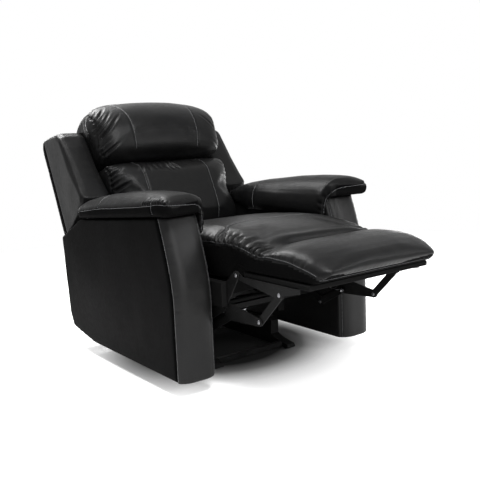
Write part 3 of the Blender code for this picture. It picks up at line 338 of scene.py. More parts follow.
def outward(obj):
    """Merge doubles and turn all faces of a closed mesh outwards."""
    bm = bmesh.new()
    bm.from_mesh(obj.data)
    bmesh.ops.remove_doubles(bm, verts=bm.verts, dist=1e-5)
    bmesh.ops.recalc_face_normals(bm, faces=bm.faces)
    bm.to_mesh(obj.data)
    bm.free()
    return obj


def loft(name, rings):
    """Closed form through rings of equal count."""
    count, last = len(rings[0]), len(rings) - 1
    faces = []
    for r in range(last):
        a, b = r * count, (r + 1) * count
        faces += [(a + i, a + (i + 1) % count, b + (i + 1) % count, b + i) for i in range(count)]
    faces += [tuple(range(count)), tuple(range(last * count, (last + 1) * count))]
    return outward(mesh_object(name, [p for ring in rings for p in ring], faces))


def as_modified(obj):
    """A new mesh, as an object's modifiers make it."""
    return bpy.data.meshes.new_from_object(obj.evaluated_get(bpy.context.evaluated_depsgraph_get()))


def baked(obj):
    """Replace an object's mesh by what its modifiers make of it."""
    mesh = as_modified(obj)
    obj.modifiers.clear()
    old, obj.data = obj.data, mesh
    if old.users == 0:
        bpy.data.meshes.remove(old)
    return obj


def even_cells(obj, cell):
    """Voxel remesh: the same form with square cells of one size."""
    remesh = obj.modifiers.new("even", "REMESH")
    remesh.mode = "VOXEL"
    remesh.voxel_size = cell
    return baked(obj)


def surface_of(obj):
    return BVHTree.FromObject(obj, bpy.context.evaluated_depsgraph_get())


# %% Inflating: one cloth run for every stuffed form
waiting = []
CASE = {"quality": 5, "mass": 0.25, "tension_stiffness": 18.0, "compression_stiffness": 18.0,
        "shear_stiffness": 9.0, "bending_stiffness": 0.6, "use_pressure": True, "vertex_group_mass": "held"}


def stuff(obj, held, pressure, cap, surplus):
    """Note a form for the cloth run. held is 1 where a point is sewn down, 0 where it is free."""
    group = obj.vertex_groups.new(name="held")
    for index in np.nonzero(held > 0.01)[0]:
        group.add([int(index)], float(held[index]), "REPLACE")
    waiting.append((obj, pressure, cap, surplus))


def evened(obj, values, rounds):
    """Values on a mesh's points, averaged with their neighbours a few times."""
    edges = array_of(obj.data.edges, "vertices", 2, np.int64)
    a, b = edges.T
    count = np.bincount(edges.ravel(), minlength=len(values))[:, None]
    for _ in range(rounds):
        total = np.zeros_like(values)
        for axis, column in enumerate(values.T):
            total[:, axis] = np.bincount(a, column[b], len(values)) + np.bincount(b, column[a], len(values))
        values = 0.4 * values + 0.6 * total / np.maximum(count, 1)
    return values


def inflate_all(frames=20):
    """Run the cloth of all waiting forms together, cap each point's way, and subdivide once."""
    rests = {obj.name: points_of(obj) for obj, *_ in waiting}
    for obj, pressure, cap, surplus in waiting:
        cloth = obj.modifiers.new("case", "CLOTH")
        for key, value in {**CASE, "uniform_pressure_force": pressure, "shrink_min": -surplus}.items():
            setattr(cloth.settings, key, value)
        cloth.settings.effector_weights.gravity = 0.0
        cloth.collision_settings.use_collision = False
        cloth.collision_settings.use_self_collision = False
        cloth.point_cache.frame_start, cloth.point_cache.frame_end = 1, frames
    for number in range(1, frames + 1):
        bpy.context.scene.frame_set(number)
    for obj, pressure, cap, surplus in waiting:
        baked(obj)
        way = points_of(obj) - rests[obj.name]
        length = np.linalg.norm(way, axis=1)
        way *= np.minimum(1.0, cap / np.maximum(length, 1e-9))[:, None]
        set_points(obj, rests[obj.name] + evened(obj, way, 8))
        print(f"{obj.name}: {len(length)} points, moved {length.mean() * 1000:.1f} mm on average")
        smooth = obj.modifiers.new("subdivide", "SUBSURF")
        smooth.levels = smooth.render_levels = 1
        baked(obj)
        obj.vertex_groups.clear()
    bpy.context.scene.frame_set(1)
    waiting.clear()


# %% Noise, paths and pressing in, all on arrays of points
def value_noise(co, size, seed):
    """Smooth noise from -1 to 1 with cells of one size, the same on every run."""
    p = np.asarray(co) / size + seed * 17.31
    cell = np.floor(p).astype(np.int64)
    f = p - cell
    f = f * f * (3.0 - 2.0 * f)
    total = np.zeros(len(p))
    for corner in np.ndindex(2, 2, 2):
        n = (cell + corner) @ np.array((374761393, 668265263, 974634777))
        n = (n + seed * 1274126177) & 0x7FFFFFFF
        n = ((n ^ (n >> 13)) * 1103515245) & 0x7FFFFFFF
        value = ((n ^ (n >> 16)) & 0xFFFF) / 32767.5 - 1.0
        total += np.prod(np.where(corner, f, 1 - f), axis=1) * value
    return total


def path_length(path):
    return sum(np.linalg.norm(np.subtract(b, a)) for a, b in zip(path[:-1], path[1:]))


def along_path(co, path):
    """Distance of each point to a polyline, and the length along it of the nearest place."""
    path = np.asarray(path, float)
    best = np.full(len(co), 1e9)
    where = np.zeros(len(co))
    travelled = 0.0
    for a, b in zip(path[:-1], path[1:]):
        step = b - a
        length = np.linalg.norm(step)
        if length < 1e-9:
            continue
        t = np.clip((co - a) @ step / length ** 2, 0.0, 1.0)
        distance = np.linalg.norm(co - a - t[:, None] * step, axis=1)
        nearer = distance < best
        best[nearer] = distance[nearer]
        where[nearer] = travelled + t[nearer] * length
        travelled += length
    return best, where


def ease(low, high, x):
    t = np.clip((x - low) / (high - low), 0.0, 1.0)
    return t * t * (3.0 - 2.0 * t)


def bell(x):
    return np.exp(-x ** 2)


class Pressing:
    """Collects how far each point of a cushion is pressed in or out, and how much shade is painted on it in
    seams and folds, then moves them all at once.
    """

    def __init__(self, obj):
        self.obj, self.co, self.no = obj, points_of(obj), normals_of(obj)
        self.way, self.hollow_shade = np.zeros(len(self.co)), np.zeros(len(self.co))

    def slack(self, size, depth, seed, where=1.0):
        """Soft unevenness of the hide."""
        self.way += where * depth * value_noise(self.co, size, seed)

    def seam(self, path, depth, width, pucker, pitch, seed, fade=0.0):
        """A sewn line: a groove whose floor puckers a little between the stitches."""
        distance, s = along_path(self.co, path)
        deep = depth * np.ones(len(s))
        if fade:
            deep *= ease(0.0, fade, s) * ease(0.0, fade, path_length(path) - s)
        waves = np.sin(2 * pi * s / pitch + 1.7 * value_noise(np.stack([s, s * 0, s * 0], 1), 0.03, seed))
        self.way -= deep * bell(distance / width)
        self.way += pucker * waves * bell((distance - 1.6 * width) / (1.6 * width))
        # Painted shade: the groove's floor is marked to be painted darker.
        self.hollow_shade = np.maximum(self.hollow_shade, deep / depth * bell(distance / (0.55 * width)))

    def gathers(self, path, side, pitch, reach, depth, seed, start=0.0, end=1e9, lean=(0.0, 0.0),
                width=0.0045, spread=0.10):
        """Folds that run away from a sewn edge on one side of it; lean turns them, first to last."""
        distance, s = along_path(self.co, path)
        rng = np.random.default_rng(seed)
        length = path_length(path)
        total = min(end, length)
        near = side(self.co) & (distance < reach * 1.3)
        within = ease(0.0, 0.010, s) * ease(0.0, 0.010, length - s)
        place = start + 0.5 * pitch
        while place < total:
            long = reach * rng.uniform(0.65, 1.15)
            deep = depth * rng.uniform(0.65, 1.15)
            share = (place - start) / max(total - start, 1e-6)
            skew = lean[0] + (lean[1] - lean[0]) * share + rng.uniform(-0.08, 0.08)
            centre = place + skew * distance + 0.0018 * np.sin(distance / 0.020 + place * 40.0)
            off = (s - centre) / (width + spread * distance)
            fade = (1.0 - ease(0.25 * long, long, distance)) * ease(0.0, 0.004, distance)
            fade = np.where(near, fade * within, 0.0)
            self.way += deep * fade * (0.55 * bell((np.abs(off) - 1.6) / 0.9) - bell(off))
            # Painted shade: the fold's hollow is marked to be painted darker.
            self.hollow_shade = np.maximum(self.hollow_shade, 0.9 * fade * bell(off / 0.55))
            place += pitch * rng.uniform(0.75, 1.3)

    def fold(self, path, depth, width, fades):
        """One soft crease without a seam; fades are the shares of its length over which its ends run out."""
        distance, s = along_path(self.co, path)
        total = path_length(path)
        deep = depth * ease(0.0, fades[0] * total, s) * ease(0.0, fades[1] * total, total - s)
        off = distance / width
        self.way -= deep * (bell(off) - 0.4 * bell((off - 2.0) / 1.1))
        # Painted shade: the crease is marked to be painted darker.
        self.hollow_shade = np.maximum(self.hollow_shade, 0.5 * bell(off / 0.6) * (deep / depth))

    def done(self, material, other=None, of_other=None):
        """Move the points, store the hollow shade (painted shade in seams and folds), finish the mesh;
        of_other marks a second leather's points.
        """
        way = np.clip(self.way, -0.02, 0.02)
        set_points(self.obj, self.co + self.no * way[:, None])
        mesh = self.obj.data
        # The hollow shade number, stored on the points, paints shade into the leather's colour.
        store = mesh.attributes.new("hollow_shade", "FLOAT", "POINT")
        store.data.foreach_set("value", np.clip(self.hollow_shade, 0.0, 1.0).astype(np.float32))
        mesh.shade_smooth()
        mesh.materials.clear()
        mesh.materials.append(material)
        if other is not None:
            mesh.materials.append(other)
            for face in mesh.polygons:
                face.material_index = int(all(of_other[i] for i in face.vertices))
        print(f"{self.obj.name}: {len(mesh.polygons)} faces, pressed {way.min() * 1000:.1f} "
              f"to {way.max() * 1000:.1f} mm")
        return self.obj

# %% [markdown]
# ## Where things are
#
# The chair's sizes are easiest to give in two frames: one with y = 0 at the front of the arms, and
# one that leans with the back, in which v runs rearward and w up the cushions. Two small functions
# carry such places into the model's frame.

# %% Frames of the chair and of its back
ARM_FRONT = -0.335
BACK_AXIS = (0.740, 0.420)
LEAN = radians(25.0)
SIDES = (("left", 1.0), ("right", -1.0))


def mm(table):
    """Rows of millimetres, as a pattern maker writes them, in metres."""
    return [tuple(float(n) / 1000.0 for n in row.split()) for row in table.split(",")]


def chair(x, y, z):
    return np.array((x, y + ARM_FRONT, z))


def on_back(x, v, w):
    y = BACK_AXIS[0] + v * cos(LEAN) + w * sin(LEAN)
    z = BACK_AXIS[1] - v * sin(LEAN) + w * cos(LEAN)
    return np.array((x, y + ARM_FRONT, z))


def back_places(co):
    """The (x, v, w) of an array of points."""
    dy = co[:, 1] - ARM_FRONT - BACK_AXIS[0]
    dz = co[:, 2] - BACK_AXIS[1]
    return co[:, 0], dy * cos(LEAN) - dz * sin(LEAN), dy * sin(LEAN) + dz * cos(LEAN)


def stations(x, table, blur=0.009):
    """Value at x, a number or an array, of a short list of (place, value) stations, its corners eased."""
    places, values = zip(*table)
    before, here, after = (np.interp(np.asarray(x) + shift, places, values) for shift in (-blur, 0.0, blur))
    return 0.25 * before + 0.5 * here + 0.25 * after


def snap(path, obj, lift=0.0):
    """Put the points of a path onto an object's surface."""
    tree = surface_of(obj)
    found = []
    for point in path:
        near, normal, _, _ = tree.find_nearest(Vector(point))
        found.append(np.array(near + normal * lift))
    return found


def densely(path, step=0.006):
    """The same polyline with a point every few millimetres."""
    path = [np.asarray(p, float) for p in path]
    dense = []
    for a, b in zip(path[:-1], path[1:]):
        parts = max(1, int(np.linalg.norm(b - a) / step))
        dense += [a + (b - a) * i / parts for i in range(parts)]
    return dense + [path[-1]]


print("back leans", round(LEAN * 180 / pi), "degrees")

# %% [markdown]
# ## Seat and footrest: one long chaise pad
#
# On this chair the seat runs on into the footrest without a gap, so that the legs are carried all the
# way. It is one case with a crowned top panel, a sewn edge along both sides and a boxing strip
# below it, whose leather is painted darker as shade.

# %% Chaise pad: its form before stuffing
TOP_LINE = mm("-531 493, -527 502, -518 513, -503 522, -472 534, -430 546, -385 552, -335 550, -295 541, "
              "-262 528, -242 523, -224 529, -195 545, -150 561, -110 569, -60 575, 20 577, 120 574, "
              "240 568, 360 556, 460 541, 530 526, 574 510, 598 490, 616 468, 642 450, 660 438")
SEAM_LINE = mm("-531 490, -518 478, -505 466, -498 470, -480 482, -380 503, -280 509, -222 505, -142 526, "
               "-79 533, 0 530, 300 516, 460 506, 530 498, 598 462, 660 432")
UNDER_LINE = mm("-531 487, -522 475, -512 467, -505 460, -480 447, -150 447, -136 465, -98 465, -53 407, "
                "660 407")
HALF_LINE = mm("-531 238, -522 252, -505 268, -490 276, -300 281, -100 286, 550 289, 660 284")


# The boxing strip below the side seam: share of its height, and how far it draws in there.
BOXING = ((0.5, 0.002), (0.92, 0.006), (1.0, 0.014))


def chaise_ring(y):
    top, seam = stations(y, TOP_LINE), stations(y, SEAM_LINE)
    under, half = stations(y, UNDER_LINE), stations(y, HALF_LINE)
    seam = min(max(seam, under + 0.004), top - 0.002)
    ring = []
    for i in range(33):
        u = sin(pi / 2 * (i / 16.0 - 1.0))
        crown = (1.0 - abs(u) ** 5.0) ** 0.36
        ring.append(chair(half * u, y, seam + (top - seam) * crown))
    ring += [chair(half - inset, y, seam + (under - seam) * share) for share, inset in BOXING]
    ring += [chair((half - BOXING[-1][1]) * u, y, under) for u in (0.8, 0.4, 0.0, -0.4, -0.8)]
    ring += [chair(-half + inset, y, seam + (under - seam) * share) for share, inset in reversed(BOXING)]
    return ring


places = sorted(set([round(y, 4) for y, _ in TOP_LINE] + [-0.136, -0.098, -0.053]
                    + [round(-0.47 + 0.03 * i, 4) for i in range(36)]))
chaise = loft("chaise_pad", [chaise_ring(y) for y in places])
even_cells(chaise, 0.0095)
print("chaise cells:", len(chaise.data.polygons))


def chaise_held(co):
    y = co[:, 1] - ARM_FRONT
    under, seam, half = stations(y, UNDER_LINE), stations(y, SEAM_LINE), stations(y, HALF_LINE)
    held = ((co[:, 2] < under + 0.012) & (y > -0.500)) | (y > 0.60)
    held |= (np.abs(y + 0.503) < 0.008) & (co[:, 2] < 0.474)
    sewn = (np.abs(co[:, 0]) > half - 0.011) & (np.abs(co[:, 2] - seam) < 0.008)
    return np.where(held | sewn, 1.0, 0.0)


stuff(chaise, chaise_held(points_of(chaise)), pressure=3.0, cap=0.010, surplus=0.008)

# %% [markdown]
# ## Back cushions
#
# The back is two stuffed cushions, each sewn from three panels: a lumbar cushion and a domed headrest
# that rolls over the top. Each is lofted from side to side through its side outline, and its rings
# draw in towards both ends. Before the wings, where there is room, the cushions swell out sideways.

# %% Lumbar cushion and headrest before stuffing
PANEL_SEAM = 0.165
BOARD_V, CREASE_W, BOARD_TOP_W, HEADREST_TOP_W = 0.0497, 0.382, 0.600, 0.708


def rounder(outline, rounds=2):
    """Cut the corners of a closed outline, which makes it a smooth curve."""
    points = np.array(outline)
    for _ in range(rounds):
        after = np.roll(points, -1, axis=0)
        points = np.stack((0.75 * points + 0.25 * after, 0.25 * points + 0.75 * after), axis=1).reshape(-1, 3)
    return points


def padded_form(name, outline, half, crown, ends, cell, less=0.006):
    """Stuffed form through a side outline of (v, w, softness); its soft points draw in at both ends."""
    profile = rounder(outline)
    middle = profile[:, :2].mean(axis=0)
    length, depth = ends
    rings = []
    for x in sorted({round(half * sin(pi / 2 * i / 14.0), 5) for i in range(-14, 15)}):
        over = min(1.0, max(0.0, (abs(x) - half + length) / length))
        drop = crown * (abs(x) / half) ** 2.5 + depth * (1.0 - (1.0 - over ** 2.2) ** 0.5)
        away = profile[:, :2] - middle
        reach = np.linalg.norm(away, axis=1)
        moved = profile[:, :2] - away * (np.minimum(drop * profile[:, 2] / reach, 0.8))[:, None]
        rings.append([on_back(x, v, w) for v, w in moved])
    obj = even_cells(loft(name, rings), cell)
    set_points(obj, points_of(obj) - normals_of(obj) * less)
    return obj


def wider_in_front(obj, v_free, v_full, swell):
    """Let a back cushion swell sideways in front of the wings, by an amount for each height."""
    co = points_of(obj)
    x, v, w = back_places(co)
    share = ease(v_free, v_full, v) * ease(0.18, 0.28, np.abs(x))
    co[:, 0] += np.sign(x) * stations(w, swell) * share
    set_points(obj, co)


top_w = CREASE_W - 0.002
outline = [(BOARD_V, 0.026, 0.0), (-0.060, 0.022, 0.2), (-0.120, 0.020, 0.6)]
outline += [(v, top_w * share, size) for v, share, size in
            ((-0.155, 0.105, 0.9), (-0.172, 0.224, 1.0), (-0.176, 0.395, 1.0), (-0.178, 0.579, 1.0),
             (-0.175, 0.763, 1.0), (-0.164, 0.882, 0.9), (-0.140, 0.963, 0.4), (-0.100, 0.995, 0.1))]
outline += [(-0.020, top_w, 0.0), (BOARD_V, top_w, 0.0), (BOARD_V, top_w * 0.53, 0.0)]
lumbar = padded_form("lumbar_cushion", outline, 0.300, 0.014, (0.085, 0.066), 0.0078)
wider_in_front(lumbar, -0.060, -0.095, [(0.21, 0.0), (0.26, 0.005), (0.40, 0.005)])

high = HEADREST_TOP_W - CREASE_W
over_board = BOARD_TOP_W + 0.0003
outline = [(BOARD_V, CREASE_W, 0.0), (-0.020, CREASE_W, 0.0)]
outline += [(v, CREASE_W + high * share, size) for v, share, size in
            ((-0.105, -0.004, 0.1), (-0.150, 0.008, 0.3), (-0.182, 0.060, 0.7), (-0.199, 0.180, 1.0),
             (-0.203, 0.347, 1.0), (-0.196, 0.531, 1.0), (-0.168, 0.699, 1.0), (-0.124, 0.837, 1.0),
             (-0.064, 0.939, 1.0), (0.004, 1.0, 1.0), (0.072, 1.006, 1.0))]
outline += [(v, over_board + 0.108 * share, size) for v, share, size in
            ((0.126, 0.87, 1.0), (0.158, 0.574, 0.8), (0.164, 0.278, 0.4), (0.158, 0.0, 0.1))]
outline += [(0.100, over_board, 0.0), (BOARD_V, over_board, 0.0),
            (BOARD_V, (CREASE_W + over_board) / 2.0, 0.0)]
headrest = padded_form("headrest_pillow", outline, 0.300, 0.032, (0.075, 0.056), 0.0080)
wider_in_front(headrest, -0.025, -0.075,
               [(0.37, 0.0), (0.42, 0.006), (0.50, 0.016), (0.56, 0.026), (0.72, 0.026)])

for cushion in (lumbar, headrest):
    x, v, w = back_places(points_of(cushion))
    seated = v > 0.030
    if cushion is headrest:
        seated = (v > 0.030) & (w < 0.62)
    stuff(cushion, np.where(seated, 1.0, 0.0), pressure=4.0, cap=0.009, surplus=0.008)
print("back cells:", len(lumbar.data.polygons), len(headrest.data.polygons))


def copy_of(node, name):
    """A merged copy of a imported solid, as the start of a dressed piece."""
    obj = new_object(name, nodes[node].data.copy())
    obj.data.materials.clear()
    for attribute in [a.name for a in obj.data.attributes if a.name.startswith("custom")]:
        obj.data.attributes.remove(obj.data.attributes[attribute])
    return outward(obj)


def smaller(obj, less):
    set_points(obj, points_of(obj) - normals_of(obj) * less)
    return obj


# %% [markdown]
# ## Arm pads
#
# Each arm carries a pillow: a crowned top panel that falls over the inner side of the arm down to the
# seat, a sewn edge that climbs along the outer side and wraps round the end of the arm, and a strip
# below that edge. A cross seam divides it at its rear third. One pillow is made and mirrored, as the
# pattern cutter mirrors the panels.

# %% Arm pad before stuffing
PAD_OUT, PAD_IN, PAD_WALL, PAD_HALF_FULL = 0.490, 0.2855, 0.3092, 0.0985
PAD_TOP = mm("-17 672, -12 684, 0 697, 25 709, 60 714, 180 713.5, 310 705.5, 480 688, 510 686, 630 670, "
             "700 660, 735 650, 748 638")
PAD_SEAM = mm("-17 668, -5 684, 40 688, 80 681, 160 673, 480 647, 748 618")
PAD_UNDER = mm("-17 650, 0 640, 30 637.5, 75 637.5, 748 584")
PAD_HALF = mm("-17 52, -12 70, 0 84, 18 93, 45 98.5, 600 98.5, 700 92, 748 74")
PAD_DRAPE = [(0.030, 0.0), (0.038, 0.75), (0.050, 1.0), (0.575, 1.0), (0.625, 0.55), (0.680, 0.15),
             (0.700, 0.0)]
PAD_FOOT = 0.556


def pad_ring(y):
    """Section of the pillow: outer strip, crown, and an inner side that falls to the seat."""
    top, seam = stations(y, PAD_TOP), stations(y, PAD_SEAM)
    under, half, drape = stations(y, PAD_UNDER), stations(y, PAD_HALF), stations(y, PAD_DRAPE)
    seam = min(seam, top - 0.004)
    outer = PAD_OUT - (PAD_HALF_FULL - half) * 0.8
    inner = outer - 2.0 * half + (PAD_IN - PAD_OUT + 2.0 * PAD_HALF_FULL) * drape
    ridge = (outer + inner) / 2.0 + 0.015 * drape
    shoulder = seam + (0.640 - seam) * drape
    foot = under + (PAD_FOOT - under) * drape
    ring = [(outer - 0.018, under)]
    for share, inset in ((0.07, 0.008), (0.30, 0.001), (0.65, -0.0015)):
        ring.append((outer - inset, under + (seam - under) * share))
    for i in range(17):
        u = -sin(pi / 2 * (i / 8.0 - 1.0))
        reach, low = (outer - ridge, seam) if u > 0 else (ridge - inner, shoulder)
        ring.append((ridge + reach * u, low + (top - low) * (1.0 - abs(u) ** 2.5) ** 0.60))
    for share, inset in ((0.35, -0.001), (0.70, -0.001), (0.93, 0.003), (1.0, 0.010)):
        ring.append((inner + inset, shoulder + (foot - shoulder) * share))
    wall = max(PAD_WALL, inner + 0.014)
    ring += [(wall - 0.003, foot), (wall, foot + 0.003 * drape), (wall + 0.001, under - 0.001)]
    skew = 0.042 * max(0.0, 1.0 - (y + 0.017) / 0.15)
    return [chair(x, y + skew * max(0.0, (outer - x) / (2.0 * half)) ** 1.5, z) for x, z in ring]


places = sorted(set([y for y, _ in PAD_TOP + PAD_DRAPE] + [round(0.03 * i, 4) for i in range(3, 24)]))
arm_pillow = loft("arm_pillow_left", [pad_ring(y) for y in places])
even_cells(arm_pillow, 0.0072)
co = points_of(arm_pillow)
y = co[:, 1] - ARM_FRONT
pad_seam_z, pad_under_z = stations(y, PAD_SEAM), stations(y, PAD_UNDER)
sewn = (np.abs(co[:, 2] - pad_seam_z) < 0.005) & (co[:, 0] > 0.478)
seated = (co[:, 2] < pad_under_z + 0.008) & (co[:, 0] > 0.302)
seated |= (co[:, 0] > 0.3055) & (co[:, 2] < pad_under_z)
stuff(arm_pillow, np.where(sewn | seated, 1.0, 0.0), pressure=3.0, cap=0.007, surplus=0.004)
print("arm pillow cells:", len(arm_pillow.data.polygons))

# %% [markdown]
# ## Blowing up
#
# All the cases wait for this one run, in which each is filled with air for twenty frames.

# %% Blow up all cases in one cloth run
inflate_all()

# %% [markdown]
# ## Sewing the chaise pad
#
# The side seams carry the light thread that draws the chair's outline, and the sitter's right side has
# a row of deep gathers where the case turns from the seat to the footrest. Seams are pressed in after
# the cloth run, because they are narrower than its cells.

# %% Chaise seams, crease and gathers
def chaise_side_path(sign, start=-0.492, end=0.50, step=0.02):
    """The sewn edge along one side, from the footrest's tip towards the seat's rear."""
    path = []
    for i in range(int(round((end - start) / step)) + 1):
        y = start + step * i
        path.append(chair(sign * (stations(y, HALF_LINE) - 0.001), y, stations(y, SEAM_LINE)))
    return path


def chaise_cross_path(y_of_x, reach=0.270):
    """A line over the top panel from side to side."""
    path = []
    for i in range(-12, 13):
        x = reach * i / 12.0
        y = y_of_x(x)
        path.append(chair(x, y, stations(y, TOP_LINE) + 0.012))
    return snap(path, chaise)


press = Pressing(chaise)
top_side = press.co[:, 2] > stations(press.co[:, 1] - ARM_FRONT, SEAM_LINE) - 0.004
press.slack(0.160, 0.0015, 11, top_side)
press.slack(0.065, 0.0004, 12, top_side)
side_seams = {sign: snap(chaise_side_path(sign), chaise) for _, sign in SIDES}
for _, sign in SIDES:
    press.seam(side_seams[sign], 0.0045, 0.0060, 0.0004, 0.019, seed=5)
fold_path = chaise_cross_path(lambda x: -0.229 - 0.042 * x, 0.284)[2:]
press.fold(fold_path, 0.015, 0.015, fades=(0.30, 0.02))
seat_line = chaise_cross_path(lambda x: 0.085 - 1.35 * x * x, 0.272)
press.seam(seat_line, 0.0045, 0.0065, 0.0004, 0.022, seed=8, fade=0.02)
tip_path = snap([chair(0.262 * i / 10.0, -0.508, 0.465) for i in range(-10, 11)], chaise)
press.seam(tip_path, 0.0035, 0.0055, 0.0006, 0.018, seed=9)
for sign, seed, deep in ((-1.0, 21, 0.0150), (1.0, 24, 0.0050)):
    inside = lambda c, s=sign: (s * c[:, 0] > 0.10) & top_side
    press.gathers(side_seams[sign], inside, 0.030, 0.078, deep, seed, start=0.250, end=0.500, width=0.0060,
                  lean=(-0.15, 0.25), spread=0.05)
    press.gathers(side_seams[sign], inside, 0.045, 0.040, 0.0022, seed + 1, start=0.03, end=0.25, width=0.004)
    press.gathers(side_seams[sign], inside, 0.040, 0.050, 0.0030, seed + 2, start=0.52, end=0.95, width=0.005)
# The strip below the side seam gets the darker boxing copy of the leather: painted shade.
chaise_pad = press.done(SOFT_LEATHER, other=SHADED_LEATHER, of_other=~top_side)

# %% [markdown]
# ## Sewing the back cushions
#
# Each back cushion has two panel seams, one seam at either end, and slack folds that run in from the
# ends. The paths are found by rays onto the blown-up surface, so that a seam always lies on the hide.

# %% Sewing the back cushions
def front_line(obj, spots, deep=-0.40):
    """Where rays from the front through (x, w) spots of the back meet a cushion."""
    tree = surface_of(obj)
    ahead = Vector(on_back(0.0, 1.0, 0.0) - on_back(0.0, 0.0, 0.0))
    hits = [tree.ray_cast(Vector(on_back(x, deep, w)), ahead)[0] for x, w in spots]
    return [np.array(hit) for hit in hits if hit is not None]


def over_top(x_at, obj, start, end, centre=(0.0, 0.56), count=30):
    """A line round a domed cushion, by rays towards a centre in the (v, w) plane; x_at gives x by angle."""
    tree = surface_of(obj)
    path = []
    for i in range(count + 1):
        degrees = start + (end - start) * i / count
        angle, x = radians(degrees), x_at(degrees)
        out = on_back(x, centre[0] + 0.5 * cos(angle), centre[1] + 0.5 * sin(angle))
        hit = tree.ray_cast(Vector(out), Vector(on_back(x, *centre) - out).normalized())[0]
        if hit is not None:
            path.append(np.array(hit))
    return path


def sew_end(press, sign, panel_seam, seed, end_x, end_ws, fold_x, deep, folds, count, curl=0.0):
    """One end of a back cushion: its panel seam, its end seam, and the folds that run in from there."""
    press.seam(panel_seam, 0.0022, 0.0048, 0.0002, 0.021, seed=seed)
    end_seam = front_line(press.obj, [(sign * end_x, w) for w in end_ws])
    press.seam(end_seam, 0.0030, 0.0050, 0.0, 0.020, seed=seed + 1)
    for w, length, rise, share in folds:
        line = [(sign * (fold_x - length * t), w + length * (rise * t + curl * t * t))
                for t in np.linspace(0.0, 1.0, count)]
        press.fold(front_line(press.obj, line), deep * share, 0.0055, fades=(0.06, 0.70))


# Folds: height where each starts, length, rise to its length, and share of the full depth.
LUMBAR_FOLDS = ((0.345, 0.060, 0.15, 0.6), (0.326, 0.050, 0.45, 0.8), (0.304, 0.070, 0.45, 1.0),
                (0.284, 0.040, 0.40, 0.6), (0.262, 0.055, 0.40, 0.8), (0.236, 0.085, 0.30, 1.0),
                (0.205, 0.050, 0.30, 0.6), (0.170, 0.070, 0.20, 0.8), (0.130, 0.050, 0.10, 0.6))
HEADREST_FOLDS = ((0.402, 0.100, 0.40, 1.0), (0.420, 0.060, 0.45, 0.6), (0.440, 0.055, 0.55, 0.6),
                  (0.468, 0.125, 0.85, 1.1), (0.492, 0.060, 0.85, 0.5), (0.512, 0.095, 0.95, 0.8),
                  (0.535, 0.060, 0.95, 0.5), (0.556, 0.085, 0.95, 0.8), (0.584, 0.055, 0.95, 0.5),
                  (0.606, 0.060, 0.95, 0.5))
SPREAD_UP = [(40.0, 0.210), (112.0, 0.208), (145.0, 0.188), (180.0, 0.171), (222.0, PANEL_SEAM)]

lumbar_seams, headrest_seams = {}, {}
press = Pressing(lumbar)
x, v, w = back_places(press.co)
face = v < -0.02
press.slack(0.130, 0.0020, 31, face)
press.slack(0.055, 0.0006, 32, face)
for _, sign in SIDES:
    upright = [(sign * PANEL_SEAM, 0.035 + (0.372 - 0.035) * i / 24) for i in range(25)]
    lumbar_seams[sign] = front_line(lumbar, upright, deep=-0.30)
    sew_end(press, sign, lumbar_seams[sign], 33, 0.301, np.linspace(0.10, 0.362, 30), 0.303,
            0.0075 if sign < 0 else 0.0015, LUMBAR_FOLDS, 10)
RIM_DEPTH = [(0.0, -0.150), (0.26, -0.130)]
rim = snap([on_back(x, stations(abs(x), RIM_DEPTH), 0.366) for x in np.linspace(-0.25, 0.25, 26)], lumbar)
below = lambda c: back_places(c)[1] < -0.05
press.gathers(rim, below, 0.023, 0.085, 0.0066, 41, start=0.09, end=0.27, width=0.0040, lean=(-0.2, 0.3),
              spread=0.05)
press.gathers(rim, below, 0.050, 0.050, 0.0030, 42, start=0.28, end=0.48, width=0.0045, spread=0.06)
lumbar_cushion = press.done(SOFT_LEATHER)

press = Pressing(headrest)
x, v, w = back_places(press.co)
face = v < 0.03
press.slack(0.150, 0.0022, 51, face)
press.slack(0.060, 0.0006, 52, face)
for _, sign in SIDES:
    spreading = lambda degrees: sign * stations(degrees, SPREAD_UP)
    headrest_seams[sign] = over_top(spreading, headrest, 222.0, 40.0)
    sew_end(press, sign, headrest_seams[sign], 53, 0.312, np.linspace(0.400, 0.600, 24), 0.318,
            0.0085 if sign < 0 else 0.0025, HEADREST_FOLDS, 12, curl=0.12)
headrest_pillow = press.done(SOFT_LEATHER)

# %% [markdown]
# ## Sewing the arm pads
#
# One pillow is sewn and then mirrored. Only the pillow with the release gets a flat place for it.

# %% Sewing the arm pad, and its mirrored twin
press = Pressing(arm_pillow)
y = press.co[:, 1] - ARM_FRONT
pad_seam_z = stations(y, PAD_SEAM)
top_side = (press.co[:, 2] > pad_seam_z + 0.002) | (press.co[:, 0] < 0.33)
press.slack(0.130, 0.0012, 61, top_side)
press.slack(0.055, 0.0003, 62)

# The sewn edge: along the outer side to the front, round the end, and down the inner corner.
pad_edge = [chair(PAD_OUT, p, stations(p, PAD_SEAM)) for p in np.linspace(0.735, 0.030, 46)]
pad_edge += [chair(*p) for p in mm("487 10 689, 474 -8 692, 445 -17 693, 405 -14 690, 362 -2 683, "
                                   "325 18 672, 300 34 655, 289 43 635, 284 47 605, 284 49 565")]
pad_edge = snap(densely(pad_edge, 0.010), arm_pillow)
press.seam(pad_edge, 0.0035, 0.0050, 0.0, 0.017, seed=63)
cross_line = mm("488 508 647, 470 514 671, 440 522 691, 390 530 696, 330 528 686, 295 522 661, 281 516 628, "
                "281 512 562")
pad_cross = snap(densely([chair(*p) for p in cross_line], 0.012), arm_pillow)
press.seam(pad_cross, 0.0028, 0.0045, 0.0002, 0.019, seed=64)
outer_top = lambda c: (c[:, 0] > 0.40) & top_side
press.gathers(pad_edge, outer_top, 0.019, 0.036, 0.0042, 65, start=0.585, end=0.745, width=0.0036)
pad_slit = snap([chair(PAD_OUT, 0.092 - 0.001 * i, 0.684 - 0.006 * i) for i in range(7)], arm_pillow)
